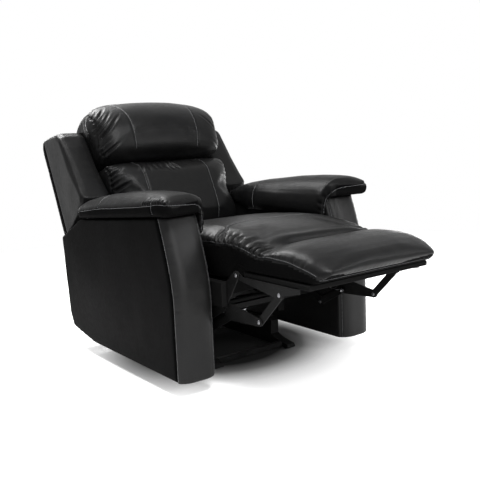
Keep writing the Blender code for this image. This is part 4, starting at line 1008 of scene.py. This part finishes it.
press.seam(pad_slit, 0.0025, 0.0045, 0.0, 0.02, seed=66)
near_front = lambda c: (c[:, 0] < 0.33) & (c[:, 1] - ARM_FRONT > 0.05)
press.gathers(pad_edge, near_front, 0.030, 0.045, 0.0022, 67, start=0.93, end=1.01, width=0.0050)
boxing = (press.co[:, 2] < pad_seam_z) & (press.co[:, 0] > 0.33)
# The pillow gets the duller arm pad copy of the leather, painted shade, and its strip below the seam the
# darker boxing copy, also painted shade.
arm_pillow_left = press.done(PAD_LEATHER_PAINTED_SHADE, other=SHADED_LEATHER, of_other=boxing)


MIRROR = np.array((-1.0, 1.0, 1.0))


def mirrored(obj, name):
    """The same piece for the other side, its faces turned back outwards."""
    twin = new_object(name, obj.data.copy())
    set_points(twin, points_of(twin) * MIRROR)
    twin.data.flip_normals()
    return twin


arm_pillow_right = mirrored(arm_pillow_left, "arm_pillow_right")

# The release's surround lies flat on the pillow's inner face, so the hide is drawn flat behind it.
bezel_low, bezel_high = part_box("release_bezel")
co = points_of(arm_pillow_right)
away = np.hypot(*(np.maximum(bezel_low[k] - co[:, k], 0.0) + np.maximum(co[:, k] - bezel_high[k], 0.0)
                  for k in (1, 2)))
inner_face = (co[:, 0] > -0.300) & (away < 0.045)
drawn_flat = np.minimum(co[:, 0], bezel_low[0] - 0.0006 + np.maximum(away - 0.010, 0.0) * 0.35)
co[:, 0] = np.where(inner_face, drawn_flat, co[:, 0])
set_points(arm_pillow_right, co)
print("release surround from", [round(c, 3) for c in bezel_low], "to", [round(c, 3) for c in bezel_high])

# %% [markdown]
# ## Arms
#
# Under each pillow the arm has a puffed front that leans back towards the top, a flat outer side and a
# soft inner facing. Front and outer side meet in a corner seam. These are tight covers on board, so
# they are lofted and remeshed but not blown up.

# %% Arm front and inner facing
ARM_OUT, ARM_IN, ARM_REAR = 0.470, 0.310, 0.735
ARM_BOARD = ARM_OUT - 0.031
ARM_BEND, ARM_TOP, ARM_LEAN = 0.345, 0.636, 0.075


def arm_top(y):
    """The arm's top edge falls in a straight line from behind its front to its rear."""
    return ARM_TOP + (0.583 - ARM_TOP) / (0.740 - ARM_LEAN) * (y - ARM_LEAN)


def arm_front(z):
    """How far back the arm's front edge lies at a height."""
    share = min(max((ARM_TOP - z) / (ARM_TOP - ARM_BEND), 0.0), 1.0)
    return ARM_LEAN * (1.0 - share) ** 1.5


def arm_ring(z):
    """Section of the arm front at a height, in (x, y): corner, puffed face, inner roll and facing."""
    front = arm_front(z)
    inner = ARM_IN + 0.0002
    ring = [(ARM_OUT - 0.0005, front + 0.0135), (ARM_OUT - 0.0005, front + 0.006),
            (ARM_OUT - 0.004, front + 0.0005)]
    for i in range(1, 12):
        u = i / 12.0
        puff = 0.0185 * (1.0 - (2.0 * u - 1.0) ** 4)
        ring.append((ARM_OUT - 0.006 + (ARM_IN + 0.008 - ARM_OUT + 0.006) * u, front - puff - 0.001))
    ring += [(inner + 0.006, front + 0.0005), (inner + 0.0015, front + 0.005), (inner, front + 0.014)]
    ring += [(inner, y) for y in (0.16, 0.28, 0.40, 0.52, 0.60)]
    return ring + [(ARM_IN, 0.66), (ARM_IN, ARM_REAR), (ARM_BOARD, ARM_REAR), (ARM_BOARD, front + 0.030),
                   (ARM_BOARD, front + 0.0135)]


HEIGHTS = (0.0555, 0.061, 0.10, 0.20, 0.30, 0.345, 0.38, 0.405, 0.412, 0.430, 0.47, 0.51, 0.55, 0.59)
rings = [[chair(x, y, z) for x, y in arm_ring(z)] for z in HEIGHTS]
rings.append([chair(x, y, max(0.592, min(arm_top(y) - 0.0015, 0.634)) if y < 0.55 else arm_top(y) + 0.0015)
              for x, y in arm_ring(0.634)])
arm_front_left = loft("arm_front_left", rings)
even_cells(arm_front_left, 0.0065)
press = Pressing(arm_front_left)
co = press.co
face = (co[:, 1] - ARM_FRONT) < 0.06
press.slack(0.140, 0.0016, 71, face)
press.slack(0.050, 0.0005, 72, face)
arm_corner_seam, arm_inner_seam = (
    snap([chair(x, arm_front(z) + ahead, z) for z in np.linspace(0.630, 0.062, 48)], arm_front_left)
    for x, ahead in ((ARM_OUT - 0.001, 0.010), (ARM_IN + 0.006, -0.001)))
press.seam(arm_corner_seam, 0.0025, 0.0045, 0.0006, 0.017, seed=73)
press.seam(arm_inner_seam, 0.0035, 0.0050, 0.0006, 0.017, seed=74)
front_face = lambda c: (c[:, 1] - ARM_FRONT) < 0.09
press.gathers(arm_corner_seam, front_face, 0.045, 0.035, 0.0016, 75, start=0.03, end=0.40, width=0.004)
# The arm front gets the lighter, glossier copy of the leather: painted light.
arm_front_left = press.done(FRONT_LEATHER_PAINTED_LIGHT)

# %% Flat outer side of the arm
SIDE_FOOT, SIDE_TOP, SIDE_MIDDLE = 0.0553, 0.6335, np.array((0.45, 0.32))
SIDE_OUTLINE = [(0.680, SIDE_FOOT), (0.890, 0.0923), (0.9175, 0.147), (0.9455, 0.4895), (0.7395, 0.5825)]


def side_ring(x, inset):
    """Outline of the side panel at one depth, drawn in by a rounding."""
    heights = np.linspace(SIDE_TOP - inset, SIDE_FOOT + inset, 26)
    outline = [(arm_front(z) + 0.0145 + inset, z) for z in heights]
    for y, z in SIDE_OUTLINE:
        away = np.array((y, z)) - SIDE_MIDDLE
        spot = SIDE_MIDDLE + away * (1.0 - inset / np.linalg.norm(away))
        outline.append((float(spot[0]), float(spot[1])))
    return [chair(x, y, z) for y, z in outline]


side_rings = [side_ring(x, inset) for x, inset in
              ((0.4405, 0.0), (0.455, 0.0), (0.464, 0.0016), (0.4685, 0.006), (0.4698, 0.013))]
arm_side_left = loft("arm_side_left", side_rings)
even_cells(arm_side_left, 0.0070)
press = Pressing(arm_side_left)
co = press.co
y, z = co[:, 1] - ARM_FRONT, co[:, 2]
outside = ease(0.462, 0.468, co[:, 0])
middle = np.exp(-(((y - 0.45) / 0.36) ** 2 + ((z - 0.33) / 0.20) ** 2))
press.way += outside * 0.0035 * middle
press.slack(0.260, 0.0022, 81, outside)
press.slack(0.070, 0.0006, 82, outside)
# The outer side gets the darker, duller copy of the leather: painted shade.
arm_side_left = press.done(TIGHT_LEATHER_PAINTED_SHADE)
arm_front_right = mirrored(arm_front_left, "arm_front_right")
arm_side_right = mirrored(arm_side_left, "arm_side_right")

# %% [markdown]
# ## Wings, outside back and the rail behind
#
# The wings are soft bolsters beside the cushions, with a rounded edge that catches the light instead
# of a seam. The outside back is a flat panel with a sewn border.

# %% Wings and outside back
back_wing_left = smaller(even_cells(copy_of("back_wing_left", "back_bolster_left"), 0.0058), 0.0004)
press = Pressing(back_wing_left)
x, v, w = back_places(press.co)
free = ease(0.165, 0.120, v)
press.slack(0.140, 0.0024, 91, free)
press.slack(0.060, 0.0006, 92, free)
back_bolster_left = press.done(SOFT_LEATHER)
back_bolster_right = mirrored(back_bolster_left, "back_bolster_right")

outside = smaller(even_cells(copy_of("outside_back", "outside_back_panel"), 0.0075), 0.0002)
press = Pressing(outside)
x, v, w = back_places(press.co)
rear_face = ease(0.194, 0.201, v)
press.slack(0.230, 0.0016, 95, rear_face)
BORDER = ((-0.94, -1), (0.94, -1), (1, -0.94), (1, 0.94), (0.94, 1), (-0.94, 1), (-1, 0.94), (-1, -0.94),
          (-0.94, -1))
border = [on_back(0.405 * a, 0.204, 0.30 + 0.285 * b) for a, b in BORDER]
border = snap(densely(border, 0.02), outside)
press.seam(border, 0.0022, 0.0050, 0.0005, 0.02, seed=96)
# The outside back gets the darker, duller copy of the leather: painted shade.
outside_back_panel = press.done(TIGHT_LEATHER_PAINTED_SHADE)

stretcher = even_cells(copy_of("rear_stretcher", "rear_rail_cover"), 0.0060)
press = Pressing(stretcher)
press.slack(0.15, 0.0006, 97)
# The rear rail gets the darker, duller copy of the leather: painted shade.
rear_rail_cover = press.done(TIGHT_LEATHER_PAINTED_SHADE)

# %% [markdown]
# ## Dust cloth
#
# A black dust cloth is stapled to the back rail of the seat box and hangs down behind the mechanism.
# It is a plain rectangle with soft upright waves, a wall of under a millimetre, and a loose lower edge.

# %% Dust cloth behind the mechanism
# The cloth is a part such chairs have; it is also a dark sheet that keeps the view under the seat dark,
# standing in for shade there.
CLOTH_W, CLOTH_TOP, CLOTH_FOOT, CLOTH_Y = 0.500, 0.396, 0.212, 0.6845
across_n, down_n = 50, 16
points, faces = [], []
for j in range(down_n + 1):
    fall = j / down_n
    for i in range(across_n + 1):
        x = CLOTH_W * (i / across_n - 0.5)
        wave = (0.0035 * sin(x * 61.0) + 0.002 * sin(x * 23.0 + 1.0)) * fall
        points.append(chair(x, CLOTH_Y + 0.0055 * fall + wave, CLOTH_TOP + (CLOTH_FOOT - CLOTH_TOP) * fall))
for j in range(down_n):
    for i in range(across_n):
        a = j * (across_n + 1) + i
        faces.append((a, a + 1, a + across_n + 2, a + across_n + 1))
dust_cloth = mesh_object("dust_cloth", points, faces)
wall = dust_cloth.modifiers.new("wall", "SOLIDIFY")
wall.thickness, wall.offset = 0.0008, 0.0
baked(dust_cloth)
dust_cloth.data.shade_smooth()
print("dust cloth:", len(dust_cloth.data.polygons), "faces")

# %% [markdown]
# ## Thread
#
# All visible seams are top-stitched with a light grey bonded thread, five to six millimetres to the
# stitch. A real machine repeats one stitch along a line, and so does a small node group: it resamples
# each seam's curve at the stitch pitch and sets one short capsule of thread on every point, turned
# along the curve. All seams that move together make one mesh.

# %% Thread as Geometry Nodes along the seams
def simple_finish(name, colour, roughness, metallic=0.0, wear=0.25, scale=60.0, bump=0.00015, gloss=0.5):
    """Paint, metal, thread or plastic: one colour with fine uneven gloss."""
    finish = Finish(name)
    noise = finish.noise(scale, 5.0, Roughness=0.6)
    rgb = colour if isinstance(colour, tuple) else (colour,) * 3
    low, high = (tuple(min(1.0, c * share) for c in rgb) for share in (1.0 - wear, 1.0 + wear))
    return finish.done(Base_Color=finish.steps(noise, (0.35, low), (0.65, high)),
                       Roughness=finish.between(noise, 0.3, 0.7, roughness - 0.05, roughness + 0.08),
                       Metallic=metallic, Specular_IOR_Level=gloss, Normal=finish.bump(noise, bump, 0.4))


THREAD = simple_finish("thread_light_grey", (0.14, 0.142, 0.146), 0.70, wear=0.15, scale=900.0)
STITCH_PITCH, STITCH_SIZE = 0.0056, (0.00066, 0.00066, 0.0024)


def repeater(name, segments, rings, along=False):
    """Geometry Nodes group: a rounded body on every point, or at a pitch along a curve, turned with it."""
    group = bpy.data.node_groups.new(name, "GeometryNodeTree")
    node, keys = partial(new_node, group), {}
    group.interface.new_socket(name="Geometry", in_out="OUTPUT", socket_type="NodeSocketGeometry")
    kinds = {"Geometry": "Geometry", "Pitch": "Float", "Size": "Vector", "Finish": "Material"}
    for label, kind in kinds.items():
        socket = group.interface.new_socket(name=label, in_out="INPUT", socket_type="NodeSocket" + kind)
        keys[label] = socket.identifier
    source = group.nodes.new("NodeGroupInput").outputs
    body = node("GeometryNodeMeshUVSphere", {"Segments": segments, "Rings": rings, "Radius": 1.0})
    places = {"Points": source["Geometry"]}
    if along:
        spots = node("GeometryNodeCurveToPoints", {"Curve": source["Geometry"], "Length": source["Pitch"]},
                     mode="LENGTH")
        places = {"Points": spots, "Rotation": spots.node.outputs["Rotation"]}
    copies = node("GeometryNodeInstanceOnPoints", {**places, "Instance": body, "Scale": source["Size"]})
    solid = node("GeometryNodeRealizeInstances", {"Geometry": copies})
    smooth = node("GeometryNodeSetShadeSmooth", {0: solid})
    finish = node("GeometryNodeSetMaterial", {"Geometry": smooth, "Material": source["Finish"]})
    fill(group.nodes.new("NodeGroupOutput"), {"Geometry": finish})
    return group, keys


def repeated(name, seeds, repeat, finish, size, pitch=STITCH_PITCH):
    """One mesh of what a repeater sets on a curve or on points; the seeds go."""
    group, keys = repeat
    modifier = seeds.modifiers.new("repeat", "NODES")
    modifier.node_group = group
    for key, value in (("Pitch", pitch), ("Size", size), ("Finish", finish)):
        modifier[keys[key]] = value
    obj = new_object(name, as_modified(seeds))
    bpy.data.objects.remove(seeds)
    print(f"{name}: {len(obj.data.polygons)} faces")
    return obj


STITCHES = repeater("stitches_along_seam", 6, 4, along=True)


def sewn(name, paths):
    """One mesh of stitches along all the paths."""
    curve = bpy.data.curves.new(name + "_line", "CURVE")
    curve.dimensions = "3D"
    for path in paths:
        spline = curve.splines.new("POLY")
        spline.points.add(len(path) - 1)
        spline.points.foreach_set("co", np.array([(*p, 1.0) for p in path], float).ravel())
    return repeated(name, new_object(name + "_line", curve), STITCHES, THREAD, STITCH_SIZE)


def beside(path, obj, aside, lift=0.0009, rounds=3):
    """The path moved a few millimetres to one side over a surface, as a top stitch lies, and smoothed."""
    tree = surface_of(obj)
    path = densely(path)
    found = []
    for i, point in enumerate(path):
        ahead = Vector(path[min(i + 1, len(path) - 1)] - path[max(i - 1, 0)])
        if ahead.length < 1e-7:
            continue
        _, normal, _, _ = tree.find_nearest(Vector(point))
        across = ahead.normalized().cross(normal).normalized()
        spot, normal, _, _ = tree.find_nearest(Vector(point) + across * aside)
        found.append(spot + normal * lift)
    line = np.array(found)
    for _ in range(rounds):
        line[1:-1] = line[1:-1] * 0.5 + (line[:-2] + line[2:]) * 0.25
    return list(line)


chaise_lines = [beside(side_seams[sign], chaise_pad, -0.004 * sign) for _, sign in SIDES]
chaise_lines += [beside(tip_path, chaise_pad, 0.004), beside(seat_line, chaise_pad, -0.004)]
chaise_thread = sewn("chaise_thread", chaise_lines)
back_lines = []
for _, sign in SIDES:
    back_lines.append(beside(lumbar_seams[sign], lumbar_cushion, 0.004 * sign))
    back_lines.append(beside(headrest_seams[sign], headrest_pillow, -0.004 * sign))
back_thread = sewn("back_thread", back_lines + [beside(border, outside_back_panel, 0.004)])
left_lines = [beside(path, piece, aside) for path, piece, aside in
              ((pad_edge, arm_pillow_left, -0.004), (pad_cross, arm_pillow_left, 0.004),
               (pad_slit, arm_pillow_left, 0.003), (arm_corner_seam, arm_front_left, 0.004),
               (arm_inner_seam, arm_front_left, -0.004))]
arm_thread = sewn("arm_thread", left_lines + [[p * MIRROR for p in path] for path in left_lines])

# %% [markdown]
# ## Steel, springs, wood and plastic
#
# The floor base and the footrest linkage are stamped from mild steel and dipped in black satin paint,
# which gets small scuffs in use. The springs are hard-drawn wire with a zinc finish. The seat box is
# sawn frame timber, lined in black where it can be seen. Rivets join the links, each with a domed
# head formed cold. One node group sets a head on every pivot.

# %% Finishes of the mechanism and the frame
def painted_steel():
    finish = Finish("steel_black_paint")
    broad, orange_peel = finish.noise(14.0, 5.0), finish.noise(420.0, 2.0)
    scuffs = finish.between(finish.noise(70.0, 6.0, Distortion=2.0), 0.66, 0.78)
    paint = finish.steps(broad, (0.35, 0.005), (0.65, 0.009))
    return finish.done(Base_Color=finish.mix(scuffs, paint, (0.05, 0.05, 0.052, 1.0)),
                       Roughness=finish.between(broad, 0.3, 0.7, 0.42, 0.54), Specular_IOR_Level=0.07,
                       Normal=finish.bump(orange_peel, 0.00008, 0.5))


def spring_wire():
    finish = Finish("spring_zinc")
    drawn = finish.steps(finish.noise(300.0, 4.0), (0.3, (0.42, 0.42, 0.44)), (0.7, (0.62, 0.62, 0.64)))
    return finish.done(Base_Color=drawn, Metallic=1.0, Roughness=0.34)


def frame_wood():
    finish = Finish("frame_timber")
    finish.place = finish.node("ShaderNodeMapping", {"Vector": finish.place, "Scale": (9.0, 2.0, 26.0)})
    waves = {"Vector": finish.place, "Scale": 1.4, "Distortion": 5.0, "Detail": 3.0, "Detail Scale": 1.6}
    growth = finish.node("ShaderNodeTexWave", waves, out="Fac", bands_direction="Z")
    pores = finish.noise(30.0, 4.0)
    colour = finish.steps(finish.mix(0.4, growth, pores), (0.2, (0.40, 0.26, 0.14)),
                          (0.55, (0.56, 0.40, 0.23)), (0.85, (0.66, 0.50, 0.32)))
    return finish.done(Base_Color=colour, Roughness=0.72, Normal=finish.bump(pores, 0.0004, 0.5))


# The record's leather slot gets the darker, duller copy of the leather: painted shade.
FINISHES = {"steel": painted_steel(), "spring_steel": spring_wire(), "wood": frame_wood(),
            "black_plastic": simple_finish("black_plastic", 0.010, 0.48, wear=0.12, scale=500.0, gloss=0.3),
            "leather": TIGHT_LEATHER_PAINTED_SHADE, "leather_pads": SOFT_LEATHER}
RIVET_STEEL = simple_finish("rivet_zinc", (0.20, 0.20, 0.21), 0.36, metallic=0.9, wear=0.2, scale=120.0)
LINING = simple_finish("black_lining", 0.006, 0.85, wear=0.3, scale=700.0, bump=0.0003, gloss=0.03)
LINED = ("footrest_board", "back_board", "seat_front_rail", "seat_rail_left", "seat_rail_right")
SLOT_WORDS = (("spring", "spring_steel"), ("release", "black_plastic"), ("glide", "black_plastic"),
              ("seat_rail", "wood"), ("seat_front", "wood"), ("seat_rear", "wood"), ("board", "wood"),
              ("arm_", "leather"), ("stretcher", "leather"), ("wing", "leather"), ("outside", "leather"),
              ("cushion", "leather_pads"), ("pad", "leather_pads"))


def slot_of(name):
    """Which of the record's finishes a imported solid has, read from its own name."""
    return next((slot for word, slot in SLOT_WORDS if word in name), "steel")


for name, obj in nodes.items():
    obj.data.materials.clear()
    obj.data.materials.append(LINING if name in LINED else FINISHES[slot_of(name)])
dust_cloth.data.materials.append(LINING)
print({slot: sum(slot_of(name) == slot for name in nodes) for slot in FINISHES})

# %% Rivet heads at the linkage pivots
FOOTREST_AXIS, BRACKET_PIVOT, CRANK_AXIS = (-0.110, 0.430), (-0.330, 0.395), (0.000, 0.320)
TORQUE_AXIS, DRIVE_ARM = (0.130, 0.250), (-0.055, -0.045)
PLATE_FACE, LINK_OUT, LINK_IN, INNER_LINK_IN = 0.2874, 0.2807, 0.2767, 0.2707
HEAD_HEIGHT, HEAD_RADIUS = 0.0019, 0.0072


def shifted(place, by):
    return (place[0] + by[0], place[1] + by[1])


CRANK_TIP = shifted(CRANK_AXIS, shifted(BRACKET_PIVOT, (-FOOTREST_AXIS[0], -FOOTREST_AXIS[1])))
RIVETED = (("footrest_rivets", "footrest", (PLATE_FACE, FOOTREST_AXIS), (LINK_IN, FOOTREST_AXIS),
            (LINK_OUT, BRACKET_PIVOT)),
           ("crank_rivets", "cranks", (LINK_IN, CRANK_AXIS), (LINK_OUT, CRANK_TIP)),
           ("coupler_rivets", "couplers", (INNER_LINK_IN, CRANK_TIP), (INNER_LINK_IN, BRACKET_PIVOT)),
           ("torque_rivets", "torque_shaft", (PLATE_FACE, TORQUE_AXIS)),
           ("drive_rivets", "drive_links", (INNER_LINK_IN, shifted(TORQUE_AXIS, DRIVE_ARM)),
            (INNER_LINK_IN, shifted(CRANK_AXIS, DRIVE_ARM))))
RIVETS = repeater("rivet_heads", 16, 8)
rivets = {}
for name, body, *heads in RIVETED:
    places = [chair(sign * x, *place) for _, sign in SIDES for x, place in heads]
    rivets[body] = repeated(name, mesh_object(name + "_places", places, []), RIVETS, RIVET_STEEL,
                            (HEAD_HEIGHT, HEAD_RADIUS, HEAD_RADIUS))

# %% [markdown]
# ## Which body each piece moves with
#
# The long chaise pad bends over the footrest's hinge between the seat and the footrest. All other
# covers ride whole on the body whose solids they replace.

# %% Bodies and replaced solids
FOLD_START = (0.0, -0.060 + ARM_FRONT, 0.50)
FOLD_END = (0.0, -0.160 + ARM_FRONT, 0.50)
for piece in (chaise_pad, chaise_thread):
    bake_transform(piece, "chassis", "footrest", FOLD_START, FOLD_END)
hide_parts("seat_cushion", "chaise_bridge_pad", "footrest_pad")

RIDES = ((lumbar_cushion, "back", "lower_back_cushion"), (headrest_pillow, "back", "headrest_cushion"),
         (back_bolster_left, "back", "back_wing_left"), (back_bolster_right, "back", "back_wing_right"),
         (outside_back_panel, "back", "outside_back"), (rear_rail_cover, "chassis", "rear_stretcher"),
         (arm_pillow_left, "chassis", "arm_pad_left"), (arm_pillow_right, "chassis", "arm_pad_right"),
         (arm_front_left, "chassis", "arm_core_left"), (arm_front_right, "chassis", "arm_core_right"),
         (arm_side_left, "chassis", "arm_panel_left"), (arm_side_right, "chassis", "arm_panel_right"))
for piece, body, node_name in RIDES:
    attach(piece, body)
    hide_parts(node_name)
for body, piece in rivets.items():
    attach(piece, body)
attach(dust_cloth, "chassis")
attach(back_thread, "back")
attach(arm_thread, "chassis")

PADDED = ((chaise_pad, 0.75), (lumbar_cushion, 0.7), (headrest_pillow, 0.75), (arm_pillow_left, 0.7),
          (arm_pillow_right, 0.7))
for piece, fill in PADDED:
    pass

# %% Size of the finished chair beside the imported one
low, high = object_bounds()
for axis in range(3):
    below, above = (cad_low[axis] - low[axis]) * 1000, (high[axis] - cad_high[axis]) * 1000
    print("xyz"[axis], f"{below:+.1f} mm below, {above:+.1f} mm above the packed model")
